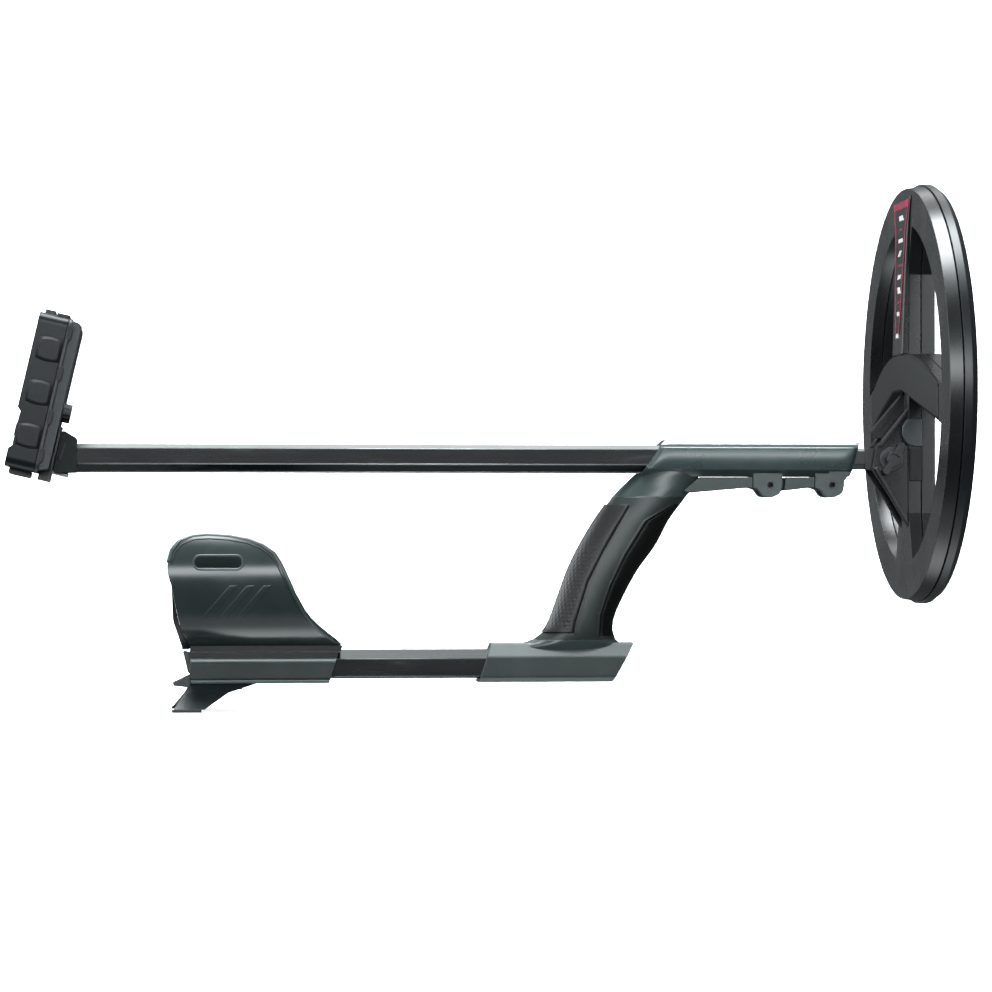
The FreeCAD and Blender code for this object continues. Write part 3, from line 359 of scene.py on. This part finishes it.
def extruded(name, outline, axis, low, high, body, slot, edge=0.4, segments=3, turn=None, replaces=()):
    """Solid of one outline, run from low to high along an axis (0 x, 1 y, 2 z). Millimetres."""
    def place(u, v, w):
        p = {0: (w, u, v), 1: (u, w, v), 2: (u, v, w)}[axis]
        p = Vector(p)
        return (turn @ p if turn else p) * MM
    count = len(outline)
    points = [place(u, v, low) for u, v in outline] + [place(u, v, high) for u, v in outline]
    faces = [tuple(range(count)), tuple(range(2 * count - 1, count - 1, -1))]
    faces += [(i, (i + 1) % count, count + (i + 1) % count, count + i) for i in range(count)]
    made = new_piece(name, points, faces, body, slot, replaces=replaces)
    if edge:
        rounded(made, edge, segments)
    return made


def disc_outline(u, v, radius, count=48, start=0.0, end=2 * math.pi):
    return [(u + radius * math.cos(start + (end - start) * i / count),
             v + radius * math.sin(start + (end - start) * i / count)) for i in range(count)]


def rounded_rect(u0, u1, v0, v1, radius, steps=6):
    out = []
    for cu, cv, a0 in ((u1 - radius, v1 - radius, 0), (u0 + radius, v1 - radius, 90),
                       (u0 + radius, v0 + radius, 180), (u1 - radius, v0 + radius, 270)):
        for i in range(steps + 1):
            a = math.radians(a0 + 90 * i / steps)
            out.append((cu + radius * math.cos(a), cv + radius * math.sin(a)))
    return out


def along(table, x):
    """Smooth value at x from a sorted table of (x, value, ...) rows: Catmull-Rom."""
    rows = table
    x = max(rows[0][0], min(rows[-1][0], x))
    i = max(k for k in range(len(rows) - 1) if rows[k][0] <= x)
    a, b = rows[i], rows[i + 1]
    t = (x - a[0]) / (b[0] - a[0])
    before = rows[i - 1] if i else a
    after = rows[i + 2] if i + 2 < len(rows) else b
    out = []
    for k in range(1, len(a)):
        span = b[0] - a[0]
        m0 = (b[k] - before[k]) / (b[0] - before[0]) * span if b[0] != before[0] else 0.0
        m1 = (after[k] - a[k]) / (after[0] - a[0]) * span if after[0] != a[0] else 0.0
        out.append((2 * t**3 - 3 * t**2 + 1) * a[k] + (t**3 - 2 * t**2 + t) * m0
                   + (3 * t**2 - 2 * t**3) * b[k] + (t**3 - t**2) * m1)
    return out


def straight(table, x):
    x = max(table[0][0], min(table[-1][0], x))
    i = max(k for k in range(len(table) - 1) if table[k][0] <= x)
    a, b = table[i], table[i + 1]
    return a[1] + (b[1] - a[1]) * (x - a[0]) / (b[0] - a[0])


# ---------------------------------------------------------------- grip rubber
# height, rear x, front x, half width of the grip
GRIP = [(45.9, 38.9, 94.6, 13.7), (52.4, 47.2, 92.6, 14.6), (61.7, 52.0, 93.9, 15.2), (75.9, 57.2, 100.2, 15.6),
        (92.2, 63.2, 109.3, 15.6), (108.6, 71.2, 121.2, 15.2), (125.9, 81.6, 130.6, 14.6), (140.8, 92.4, 141.8, 13.2)]
REAR_GROOVE = [(50.0, 64.0), (57.5, 65.2), (84.0, 73.4), (104.5, 83.6), (130.0, 98.4), (137.0, 103.0)]
FRONT_GROOVE = [(48.0, 82.8), (62.6, 83.6), (81.0, 89.8), (102.4, 100.0), (124.9, 114.3), (133.1, 128.5), (138.0, 136.5)]
REAR_SPAN = (50.5, 135.0)
FRONT_SPAN = (48.5, 136.0)
SCALE_PITCH = 3.1


def hex_bump(s, z):
    """Height of a field of small domed hexagons, 0 in the gaps and 1 at each middle."""
    row = SCALE_PITCH * math.sqrt(3) / 2
    best = 1e9
    j0 = round(z / row)
    for j in (j0 - 1, j0, j0 + 1):
        shift = 0.5 * SCALE_PITCH if j % 2 else 0.0
        i = round((s - shift) / SCALE_PITCH)
        best = min(best, math.hypot(s - shift - i * SCALE_PITCH, z - j * row))
    return max(0.0, 1 - (best / (0.56 * SCALE_PITCH)) ** 2)


def smooth_step(x, a, b):
    t = max(0.0, min(1.0, (x - a) / (b - a)))
    return t * t * (3 - 2 * t)


def grip_rubber():
    """Rear pad, smooth middle and front pad as three pieces that share their edges."""
    rows = 200
    columns = (110, 40, 70, 40)
    zs = [GRIP[0][0] + (GRIP[-1][0] - GRIP[0][0]) * i / rows for i in range(rows + 1)]
    grid = []
    for z in zs:
        rear, front, half = along(GRIP, z)
        middle, reach = (rear + front) / 2, (front - rear) / 2
        edge_rear = math.acos(max(-0.93, min(0.9, (straight(REAR_GROOVE, z) - middle) / reach)))
        edge_front = math.acos(max(-0.9, min(0.93, (straight(FRONT_GROOVE, z) - middle) / reach)))
        stops = [edge_rear, 2 * math.pi - edge_rear, 2 * math.pi - edge_front, 2 * math.pi + edge_front,
                 2 * math.pi + edge_rear]
        angles = []
        for k, count in enumerate(columns):
            angles += [stops[k] + (stops[k + 1] - stops[k]) * i / count for i in range(count)]
        line = []
        for n, t in enumerate(angles):
            lift = 0.0
            for base, span, zone in ((edge_rear, REAR_SPAN, "rear"), (edge_front, FRONT_SPAN, "front")):
                inside = smooth_step(z, span[0] - 1, span[0] + 1) * (1 - smooth_step(z, span[1] - 2, span[1] + 1))
                fold = abs((t + math.pi) % (2 * math.pi) - math.pi)
                gap = (fold - base) * half * 1.15
                if zone == "front":
                    gap = -gap
                lift -= 0.75 * inside * math.exp(-(gap / 0.55) ** 2)
                lift += 0.22 * inside * math.exp(-((gap + 1.25) / 0.6) ** 2)
                if zone == "rear" and gap > 1.2:
                    fade = smooth_step(gap, 1.2, 3.0) * smooth_step(z, 52, 56) * (1 - smooth_step(z, 88, 128) * 0.8)
                    lift += 0.34 * fade * hex_bump((t - math.pi) * half * 1.15, z) - 0.1 * fade
                if zone == "front" and gap > 0.6:
                    lift += 0.10 * smooth_step(gap, 0.6, 2.0) * inside * hex_bump(fold * half * 1.3, z)
            out = Vector((math.cos(t) / reach, math.sin(t) / half, 0)).normalized()
            line.append((Vector((middle + reach * math.cos(t), half * math.sin(t), z)) + out * lift) * MM)
        grid.append(line)
    total = sum(columns)
    bounds = [0, columns[0], columns[0] + columns[1], columns[0] + columns[1] + columns[2], total]
    zones = {"grip_rear_pad_skin": [], "grip_middle_skin": [], "grip_front_pad_skin": []}
    for i in range(rows):
        mid = (zs[i] + zs[i + 1]) / 2
        for j in range(total):
            name = "grip_middle_skin"
            if j < bounds[1] and REAR_SPAN[0] < mid < REAR_SPAN[1]:
                name = "grip_rear_pad_skin"
            if bounds[2] <= j < bounds[3] and FRONT_SPAN[0] < mid < FRONT_SPAN[1]:
                name = "grip_front_pad_skin"
            zones[name].append((i * total + j, i * total + (j + 1) % total, (i + 1) * total + (j + 1) % total,
                                (i + 1) * total + j))
    points = [p for line in grid for p in line]
    stands = {"grip_rear_pad_skin": ("grip_rear_pad", "grip_rubber"), "grip_middle_skin": ("grip_overmould", "grip_smooth"),
              "grip_front_pad_skin": ("grip_front_pad", "grip_front")}
    for name, faces in zones.items():
        used = sorted({v for f in faces for v in f})
        index = {v: k for k, v in enumerate(used)}
        made = new_piece(name, [points[v] for v in used], [tuple(index[v] for v in f) for f in faces], "handle",
                         stands[name][1], replaces=[stands[name][0]])
        skin = made.modifiers.new("thickness", "SOLIDIFY")
        skin.thickness = 1.2 * MM
        skin.offset = -1.0


# ---------------------------------------------------------------- remote control
JOINTS = {j["name"]: j for j in frame["record"]["behaviour"]["joints"]}
REMOTE_TILT = math.radians(13.0)
KNOB_X, KNOB_Z = 28.0, 42.5
REMOTE_TURN = (Matrix.Translation(Vector(JOINTS["dock_knob_turn"]["pos_m"]) / MM) @ Matrix.Rotation(REMOTE_TILT, 4, "Y")
               @ Matrix.Translation((-KNOB_X, 0, -KNOB_Z)))
REMOTE_HALF = 30.0
PAD_X = 11.4


def remote_details():
    """Framed side pads, black slots along the parting line and the bracket's groove."""
    for sign, name in ((-1, "near"), (1, "far")):
        for i, z in enumerate((22.0, 50.8, 79.6)):
            y0, y1 = sorted((sign * 29.4, sign * 30.06))
            extruded(f"remote_pad_frame_{name}_{i}", pad_outline(PAD_X, z, 7.9, 8.1), 1, y0, y1, "remote", "gap_and_shade_black", 0,
                     turn=REMOTE_TURN)
            y0, y1 = sorted((sign * 29.4, sign * 30.5))
            extruded(f"remote_pad_{name}_{i}", pad_outline(PAD_X, z, 6.8, 7.0), 1, y0, y1, "remote", "remote_plastic", 0.5,
                     3, REMOTE_TURN, replaces=["remote_side_pads"])
        for i, z in enumerate((11.3, 36.8, 65.8, 93.0)):
            y0, y1 = sorted((sign * 26.8, sign * 30.1))
            extruded(f"remote_seam_slot_{name}_{i}", rounded_rect(20.2, 23.3, z - 4.7, z + 4.7, 1.2), 1, y0, y1, "remote",
                     "gap_and_shade_black", 0.2, 2, REMOTE_TURN)
        y0, y1 = sorted((sign * 11.2, sign * 11.9))
        groove = [(-269.6, 176.0), (-268.2, 176.0), (-271.8, 164.5), (-273.2, 164.5)]
        extruded("bracket_groove_" + name, groove, 1, y0, y1, "upper_stem", "gap_and_shade_black", 0.15, 2)


def pad_outline(x, z, half_x, half_z, steps=8):
    """Square with bowed top and bottom edges."""
    out = []
    for i in range(steps + 1):
        u = -1 + 2 * i / steps
        out.append((x + half_x * u, z - half_z + 1.2 * u * u))
    for i in range(steps + 1):
        u = 1 - 2 * i / steps
        out.append((x + half_x * u, z + half_z - 1.2 * u * u))
    return out


# ---------------------------------------------------------------- search coil
COIL_Z = 210.0
FACE_X = 290.0


def slanted(y, z, wide, tall, lean):
    return [(y - wide + lean, z + tall), (y + wide + lean, z + tall), (y + wide - lean, z - tall), (y - wide - lean, z - tall)]


def spine_front(z):
    """X of the raised spine's front at height z: it stands prouder towards the hub."""
    return FACE_X - 1.0 - 3.6 * (342.0 - z) / 106.0


def spine_plate(name, rows, lift, slot, replaces=()):
    """Plate that follows the sloping front of the spine through (z, left y, right y) rows."""
    points, faces = [], []
    for z, left, right in rows:
        front = spine_front(z) - lift
        points += [(front * MM, left * MM, z * MM), (front * MM, right * MM, z * MM),
                   ((FACE_X + 0.6) * MM, right * MM, z * MM), ((FACE_X + 0.6) * MM, left * MM, z * MM)]
    for i in range(len(rows) - 1):
        for k in range(4):
            faces.append((4 * i + k, 4 * i + (k + 1) % 4, 4 * i + 4 + (k + 1) % 4, 4 * i + 4 + k))
    faces += [(0, 1, 2, 3), tuple(range(4 * len(rows) - 1, 4 * len(rows) - 5, -1))]
    return new_piece(name, points, faces, "search_coil", slot, smooth=False, replaces=replaces)


def spine_strip():
    """Raised spine with the printed strip on it: crimson borders, dark field and plain broken marks."""
    ridge = [(342.0, -26.0, 26.0), (330.0, -21.5, 21.5), (312.0, -18.0, 18.0), (286.0, -16.2, 16.2), (236.0, -15.2, 15.2)]
    rounded(spine_plate("spine_ridge", ridge, 0.0, "coil_plastic"), 0.8)
    half = [(339.0, 24.0), (321.0, 16.5), (292.0, 12.5), (266.0, 8.5), (250.0, 5.5)]
    spine_plate("decal_field", [(z, -w, w) for z, w in half], 0.35, "decal", replaces=["spine_decal"])
    for sign, name in ((-1, "near"), (1, "far")):
        rows = []
        for z, w in half:
            edge = 2.4 if z > 300 else 1.9
            left, right = sorted((sign * w, sign * (w - edge)))
            rows.append((z, left, right))
        spine_plate("decal_border_" + name, rows, 0.5, "decal_red")
    spine_plate("decal_head", [(339.4, -24.0, 24.0), (334.5, -22.4, 22.4)], 0.52, "decal_red")
    z = 330.0
    for i, (wide, tall, lean) in enumerate(((7.0, 3.4, 2), (5.5, 1.4, -1), (7.5, 2.6, 1), (4.2, 3.8, -2), (6.4, 1.6, 2),
                                            (5.6, 3.0, -1), (4.6, 4.2, 2), (5.0, 1.5, -2), (3.4, 2.8, 1))):
        spine_plate(f"decal_mark_{i}", [(z, -wide + lean, wide * 0.5 + lean), (z - tall, -wide - lean, wide * 0.7 - lean)],
                    0.55, "decal_red" if i % 3 == 1 else "decal_white")
        z -= tall + 5.4
    spine_plate("decal_tail", [(250.6, -3.2, 3.2), (247.6, -3.2, 3.2)], 0.55, "decal_white")


def hub_arch():
    """Smooth raised arch over the two arms: proudest at the spine, it sinks into the ring at both ends."""
    steps, reach = 60, 104.0
    points, faces = [], []
    for i in range(steps + 1):
        y = -reach + 2 * reach * i / steps
        t = abs(y) / reach
        top = 237.0 - 25.0 * t**2.1
        low = 211.0 - 22.0 * max(0.0, (abs(y) - 13.0) / (reach - 13.0))
        proud = 4.8 * (1 - t**1.6) + 0.3
        rim = (FACE_X - 0.2 - proud * 0.55)
        front = FACE_X - proud
        for x, z in ((FACE_X + 0.5, top), (rim, top), (front, top - 2.2), (front, low + 2.2), (rim, low), (FACE_X + 0.5, low)):
            points.append(Vector((x, y, z)) * MM)
    for i in range(steps):
        for k in range(6):
            j = (k + 1) % 6
            faces.append((6 * i + k, 6 * i + j, 6 * i + 6 + j, 6 * i + 6 + k))
    faces += [tuple(range(6)), tuple(range(6 * steps + 5, 6 * steps - 1, -1))]
    made = new_piece("hub_arch", points, faces, "search_coil", "arch_plastic")
    made.modifiers.new("shading", "WEIGHTED_NORMAL").keep_sharp = True


def coil_details():
    """Hub lobes, near-black patches painted as the shadow on the hub's sides, gusset flanges and hinge bosses."""
    for sign, name in ((-1, "near"), (1, "far")):
        y0, y1 = sorted((sign * 14.9, sign * 16.6))
        lobe = [(299.5, 193.5), (292.0, 193.5), (288.0, 192.0), (285.4, 188.0), (285.2, 182.5), (286.8, 178.0), (290.2, 175.1),
                (294.0, 174.4), (299.5, 174.4)]
        extruded("hub_lobe_" + name, lobe, 1, y0, y1, "search_coil", "hub_grey", 0.7)
        # Near-black patch on each side of the hub: painted shadow.
        extruded("hub_shadow_patch_" + name, rounded_rect(290.6, 299.2, 151.5, 173.6, 1.0), 1, y0, y1, "search_coil", "gap_and_shade_black", 0.4)
        y0, y1 = sorted((sign * 8.8, sign * 14.4))
        extruded("ear_flange_" + name, [(266.4, 159.8), (290.6, 119.5), (290.6, 125.4), (269.4, 160.8)], 1, y0, y1,
                 "search_coil", "coil_black", 0.6)
        extruded("ear_upper_flange_" + name, [(269.4, 175.4), (290.6, 201.4), (290.6, 197.0), (271.6, 173.6)], 1, y0, y1,
                 "search_coil", "coil_black", 0.6)
        y0, y1 = sorted((sign * 13.0, sign * 14.2))
        extruded("hinge_boss_" + name, disc_outline(278.9, 166.1, 8.2), 1, y0, y1, "search_coil", "hub_grey", 0.5)


# ---------------------------------------------------------------- arm rest
CUFF_R = 46.0
CUFF_Z = 86.5
RIM = [(-202.2, 97.7), (-200.0, 105.5), (-195.0, 111.3), (-186.5, 114.6), (-176.8, 115.4), (-163.0, 114.6), (-150.3, 112.3),
       (-141.0, 108.6), (-133.9, 103.4), (-129.5, 96.5), (-125.7, 88.3), (-120.5, 76.5), (-114.5, 65.8), (-110.0, 60.0),
       (-104.3, 54.6), (-97.0, 48.8), (-91.0, 44.4)]


def cuff_point(x, z, radius, sign):
    """Point on the cuff's round wall at height z."""
    y = math.sqrt(max(0.0, radius**2 - (z - CUFF_Z) ** 2))
    return Vector((x, sign * y, z)) * MM


BASE_HALF = 13.5
BASE_BACK = -187.6


def base_front(z):
    """X of the slanted front end of the channel at height z."""
    return -96.8 + 6.2 * (z - 18.1) / 19.8


def base_strip(name, z0, z1, proud, slot, edge, sign, front=0.0):
    outline = [(BASE_BACK, z0), (base_front(z0) + front, z0), (base_front(z1) + front, z1), (BASE_BACK, z1)]
    y0, y1 = sorted((sign * (BASE_HALF - 0.3), sign * (BASE_HALF + proud)))
    extruded(name, outline, 1, y0, y1, "arm_rest", slot, edge)


def base_moulding(name, section, slot, sign):
    """Rounded moulding with a (y, z) section that runs the length of the channel."""
    count = len(section)
    points = [Vector((BASE_BACK, sign * y, z)) * MM for y, z in section]
    points += [Vector((base_front(z), sign * y, z)) * MM for y, z in section]
    faces = [tuple(range(count)), tuple(range(2 * count - 1, count - 1, -1))]
    faces += [(i, (i + 1) % count, count + (i + 1) % count, count + i) for i in range(count)]
    rounded(new_piece(name, points, faces, "arm_rest", slot), 0.25, 2, 12)


def rim_path(inset):
    """Points along the wing's free edge, moved in towards the middle of the wing."""
    middle = Vector((-168.0, 0.0, 78.0))
    path = []
    for i in range(len(RIM) - 1):
        for k in range(5):
            a, b = RIM[i], RIM[i + 1]
            p = Vector((a[0] + (b[0] - a[0]) * k / 5, 0.0, a[1] + (b[1] - a[1]) * k / 5))
            path.append(p + (middle - p).normalized() * inset)
    return path


def cuff_details():
    """Rolled rim and groove along the wings, slot frame, base mouldings, near-black strips painted as shade along the
    base, and a raised generic motif.
    """
    for sign, name in ((-1, "near"), (1, "far")):
        rim = [cuff_point(p.x, p.z, CUFF_R - 1.0, sign) for p in rim_path(0.4)]
        bead_tube("cuff_rim_" + name, rim, 1.6, "arm_rest", "handle_plastic")
        groove = [cuff_point(p.x, p.z, CUFF_R - 0.1, sign) for p in rim_path(2.6)]
        bead_tube("cuff_rim_groove_" + name, groove, 0.5, "arm_rest", "gap_and_shade_black")
        # Near-black strip where the cuff's wall curves under: painted shadow.
        base_strip("skirt_shadow_" + name, 39.0, 42.9, 0.35, "gap_and_shade_black", 0.1, sign, 1.2)
        # Skirt bead in lighter hub grey: a painted highlight line.
        base_strip("skirt_bead_" + name, 38.1, 39.1, 0.8, "hub_grey", 0.3, sign, 1.2)
        # Near-black strip in the base's groove: painted shade.
        base_strip("base_groove_shade_" + name, 34.7, 38.1, 0.15, "gap_and_shade_black", 0.05, sign, -0.4)
        # Base bead and lip in a lighter copy of the base plastic: painted highlight lines.
        base_moulding("base_bead_" + name, ((13.2, 31.2), (14.0, 31.5), (14.3, 32.3), (14.12, 33.9), (13.8, 34.5),
                                            (13.2, 34.7)), "base_painted_highlight", sign)
        base_moulding("base_lip_" + name, ((13.2, 17.9), (13.7, 18.2), (14.0, 19.6), (13.8, 20.3), (13.2, 20.5)), "base_painted_highlight",
                      sign)
        for i, (x0, z0, x1, z1) in enumerate(((-181.0, 61.5, -163.0, 82.5), (-170.0, 61.5, -152.0, 82.5),
                                              (-159.0, 61.5, -141.0, 82.5))):
            slanted_bar(f"cuff_motif_{name}_{i}", x0, z0, x1, z1, 5.4, sign)
    slot_loop = rounded_rect(-186.0, -154.0, 92.9, 102.1, 4.4, 7)
    bead_tube("strap_slot_frame", [cuff_point(x, z, CUFF_R - 0.2, -1) for x, z in slot_loop], 0.7,
              "arm_rest", "hub_grey", closed=True)


def slanted_bar(name, x0, z0, x1, z1, wide, sign, steps=14):
    """Raised bar that leans forward and follows the curved wall of the cuff."""
    points, faces = [], []
    for i in range(steps + 1):
        t = i / steps
        x, z = x0 + (x1 - x0) * t, z0 + (z1 - z0) * t
        for dx, lift in ((0.0, -0.4), (0.0, 0.25), (0.5, 0.6), (wide - 0.5, 0.6), (wide, 0.25), (wide, -0.4)):
            points.append(cuff_point(x + dx, z, CUFF_R + lift, sign))
    for i in range(steps):
        for k in range(6):
            j = (k + 1) % 6
            faces.append((6 * i + k, 6 * i + j, 6 * i + 6 + j, 6 * i + 6 + k))
    faces += [tuple(range(6)), tuple(range(6 * steps + 5, 6 * steps - 1, -1))]
    new_piece(name, points, faces, "arm_rest", "cuff_plastic", smooth=False)


def bead_tube(name, path, radius, body, slot, closed=False, sides=10):
    """Round bead that follows a path of points in metres."""
    count = len(path)
    points, faces = [], []
    for i, p in enumerate(path):
        ahead = path[(i + 1) % count] if closed or i + 1 < count else p
        behind = path[i - 1] if closed or i else p
        tangent = (ahead - behind).normalized()
        across = tangent.cross(Vector((0, 0, 1)))
        if across.length < 1e-3:
            across = tangent.cross(Vector((1, 0, 0)))
        across.normalize()
        up = across.cross(tangent)
        for k in range(sides):
            a = 2 * math.pi * k / sides
            points.append(p + (across * math.cos(a) + up * math.sin(a)) * radius * MM)
    last = count if closed else count - 1
    for i in range(last):
        for k in range(sides):
            j = (i + 1) % count
            faces.append((i * sides + k, i * sides + (k + 1) % sides, j * sides + (k + 1) % sides, j * sides + k))
    if not closed:
        faces.append(tuple(range(sides)))
        faces.append(tuple(range(count * sides - 1, (count - 1) * sides - 1, -1)))
    return new_piece(name, points, faces, body, slot)


def stem_details():
    """Light grey lines painted as edge highlights along both tubes, and the bowed side panels of the upper sleeve."""
    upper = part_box("upper_stem_tube")
    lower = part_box("lower_stem_tube")
    for sign, name in ((-1, "near"), (1, "far")):
        for part, ends, body, lines, slot in (
                ("upper", upper, "upper_stem", ((9.08, 162.1, 0.58), (5.3, 157.0, 0.5), (9.2, 172.1, 0.4)), "tube_edge_highlight"),
                ("lower", lower, "handle", ((9.05, 33.55, 0.5), (9.1, 22.2, 0.5)), "tube_line_highlight")):
            # Each line is a thin light grey bead: a painted highlight along a tube edge.
            for i, (y, z, radius) in enumerate(lines):
                path = [Vector((ends[0][0], sign * y * MM, z * MM)), Vector((ends[1][0], sign * y * MM, z * MM))]
                bead_tube(f"{part}_tube_edge_{name}_{i}", path, radius, body, slot, sides=12)
        sleeve_panel("sleeve_panel_" + name, sign)
        lower_sleeve_panel("lower_sleeve_panel_" + name, sign)
        # Pale strips on the upper sleeve's top chamfer: painted highlight.
        crest = [(sign * y, z) for y, z in ((9.4, 178.35), (12.35, 175.4), (12.55, 175.65), (9.6, 178.6))]
        for i, (x0, x1) in enumerate(((128.5, 161.5), (163.5, 255.0))):
            extruded(f"sleeve_crest_{name}_{i}", crest, 0, x0, x1, "handle", "sleeve_crest_highlight", 0.12, 2)


def sleeve_panel(name, sign):
    """Thin panel on the side of the upper sleeve, bowed outwards from top to bottom, in a lighter copy of the sleeve
    plastic: painted light on the sleeve's side.
    """
    across, up = 40, 14
    points, faces = [], []
    for j in range(up + 1):
        v = -1 + 2 * j / up
        z = 166.3 + 7.6 * v
        left = 113.8 + (123.2 - 113.8) * (v + 1) / 2
        right = 251.8 + (256.2 - 251.8) * (v + 1) / 2
        for i in range(across + 1):
            u = i / across
            close = min(1.0, min(u, 1 - u) * across / 1.5)
            y = 12.75 + (0.15 + 1.15 * (1 - v * v)) * close
            points.append(Vector((left + (right - left) * u, sign * y, z)) * MM)
    for j in range(up):
        for i in range(across):
            a = j * (across + 1) + i
            faces.append((a, a + 1, a + across + 2, a + across + 1))
    made = new_piece(name, points, faces, "handle", "sleeve_lit_copy")
    skin = made.modifiers.new("thickness", "SOLIDIFY")
    skin.thickness = 0.3 * MM
    skin.offset = 0.0


def lower_sleeve_panel(name, sign):
    """Darker copy of the sleeve plastic on the flat side of the lower sleeve, painted shade, parallel to its slanted
    ends.
    """
    y0, y1 = sorted((sign * 13.0, sign * 13.32))
    outline = [(3.6, 22.0), (93.0, 22.0), (100.0, 34.7), (8.0, 34.7)]
    extruded(name, outline, 1, y0, y1, "handle", "sleeve_shaded_copy", 0.12, 2)


grip_rubber()
remote_details()
spine_strip()
hub_arch()
coil_details()
cuff_details()
stem_details()


# ---------------------------------------------------------------- studio
def area_light(name, place, target, size, power, colour=(1, 1, 1)):
    light = bpy.data.lights.new(name, "AREA")
    light.shape = "RECTANGLE"
    light.size, light.size_y = size
    light.energy = power
    light.color = colour
    made = bpy.data.objects.new(name, light)
    made.location = place
    made.rotation_mode = "QUATERNION"
    made.rotation_quaternion = (Vector(target) - Vector(place)).to_track_quat("-Z", "Y")
    bpy.context.scene.collection.objects.link(made)
    return made


def dome_world():
    """Soft studio light from all round: bright overhead, a low strip in front, dim at the horizon."""
    world = bpy.data.worlds.new("studio")
    world.use_nodes = True
    tree = world.node_tree
    background = tree.nodes["Background"]
    place = tree.nodes.new("ShaderNodeTexCoord")
    split = tree.nodes.new("ShaderNodeSeparateXYZ")
    tree.links.new(place.outputs["Generated"], split.inputs["Vector"])

    def span(socket, low, high, a, b):
        made = tree.nodes.new("ShaderNodeMapRange")
        made.interpolation_type = "SMOOTHSTEP"
        for key, value in (("From Min", low), ("From Max", high), ("To Min", a), ("To Max", b)):
            made.inputs[key].default_value = value
        tree.links.new(split.outputs[socket], made.inputs["Value"])
        return made.outputs["Result"]

    def combine(kind, a, b):
        made = tree.nodes.new("ShaderNodeMath")
        made.operation = kind
        for i, v in enumerate((a, b)):
            if isinstance(v, (int, float)):
                made.inputs[i].default_value = v
            else:
                tree.links.new(v, made.inputs[i])
        return made.outputs[0]

    def band(socket, a, b, c, d):
        """1 between b and c, falling to 0 at a and d."""
        return combine("MULTIPLY", span(socket, a, b, 0.0, 1.0), span(socket, c, d, 1.0, 0.0))

    overhead = span("Z", 0.92, 0.97, 0.0, 26.0)
    strip = combine("MULTIPLY", band("Z", 0.07, 0.17, 0.28, 0.37), span("Y", -0.70, -0.92, 0.0, 11.0))
    side = combine("MULTIPLY", combine("MULTIPLY", band("Z", -0.35, -0.05, 0.40, 0.70), span("X", -0.40, -0.70, 0.0, 5.0)),
                   span("Y", -0.25, 0.15, 0.25, 1.0))
    below = combine("MULTIPLY", span("Z", -0.84, -0.95, 0.0, 3.2), span("Y", -0.15, 0.25, 0.2, 1.0))
    total = combine("ADD", span("Z", -0.2, 0.9, 0.12, 0.26), overhead)
    for part in (strip, side, below):
        total = combine("ADD", total, part)
    tree.links.new(total, background.inputs["Strength"])
    background.inputs["Color"].default_value = (0.93, 0.985, 1.0, 1)
    bpy.context.scene.world = world


def studio():
    """Pale round floor that bends up into a wall, seen by the camera but not mirrored in the object."""
    around, radius, bend, top = 96, 14.0, 3.0, 14.0
    profile = [(0.0, 0.0), (1.2, 0.0), (3.6, 0.0), (radius - bend, 0.0)]
    for i in range(1, 17):
        a = math.pi / 2 * i / 16
        profile.append((radius - bend + bend * math.sin(a), bend * (1 - math.cos(a))))
    profile.append((radius, top))
    points = [(r * math.cos(2 * math.pi * j / around), r * math.sin(2 * math.pi * j / around), z - 0.3 * MM)
              for r, z in profile for j in range(around)]
    faces = [(i * around + j, i * around + (j + 1) % around, (i + 1) * around + (j + 1) % around, (i + 1) * around + j)
             for i in range(len(profile) - 1) for j in range(around)]
    mesh = bpy.data.meshes.new("studio_floor")
    mesh.from_pydata(points, [], faces)
    mesh.polygons.foreach_set("use_smooth", [True] * len(mesh.polygons))
    floor = bpy.data.objects.new("studio_floor", mesh)
    bpy.context.scene.collection.objects.link(floor)
    look = Look("floor")
    look.link(look.mixed(look.noise(6, 3), rgb("f4f4f4"), rgb("fafafa")), look.shader.inputs["Base Color"])
    look.shader.inputs["Roughness"].default_value = 0.95
    look.shader.inputs["Specular IOR Level"].default_value = 0.0
    look.shader.inputs["Emission Color"].default_value = (1, 1, 1, 1)
    look.shader.inputs["Emission Strength"].default_value = 0.62
    floor.data.materials.append(look.material)
    floor.visible_glossy = False
    floor.visible_diffuse = False
    floor.visible_shadow = False
    dome_world()
    area_light("key_overhead", (-0.4, -0.5, 2.0), (0.0, 0.0, 0.12), (2.0, 0.6), 8)
    area_light("rim_behind", (0.3, 1.3, 1.5), (0.0, 0.0, 0.15), (2.0, 0.5), 8)


studio()
TARGET = Vector((14.6, 0.0, 141.3)) * MM
EYE = Vector((-207.6, -2292.0, 110.2)) * MM
SEEN_WIDTH = 658.9 * MM
SENSOR = 36.0
camera_data = bpy.data.cameras.new("camera")
camera_data.sensor_width = SENSOR
camera_data.lens = SENSOR * (EYE - TARGET).length / SEEN_WIDTH
camera_data.clip_start = 0.05
camera_data.clip_end = 50
camera = bpy.data.objects.new("camera", camera_data)
camera.location = EYE
camera.rotation_mode = "QUATERNION"
camera.rotation_quaternion = (TARGET - EYE).to_track_quat("-Z", "Y")
bpy.context.scene.collection.objects.link(camera)
bpy.context.scene.camera = camera
bpy.context.scene.view_settings.view_transform = "Standard"
bpy.context.scene.view_settings.look = "None"
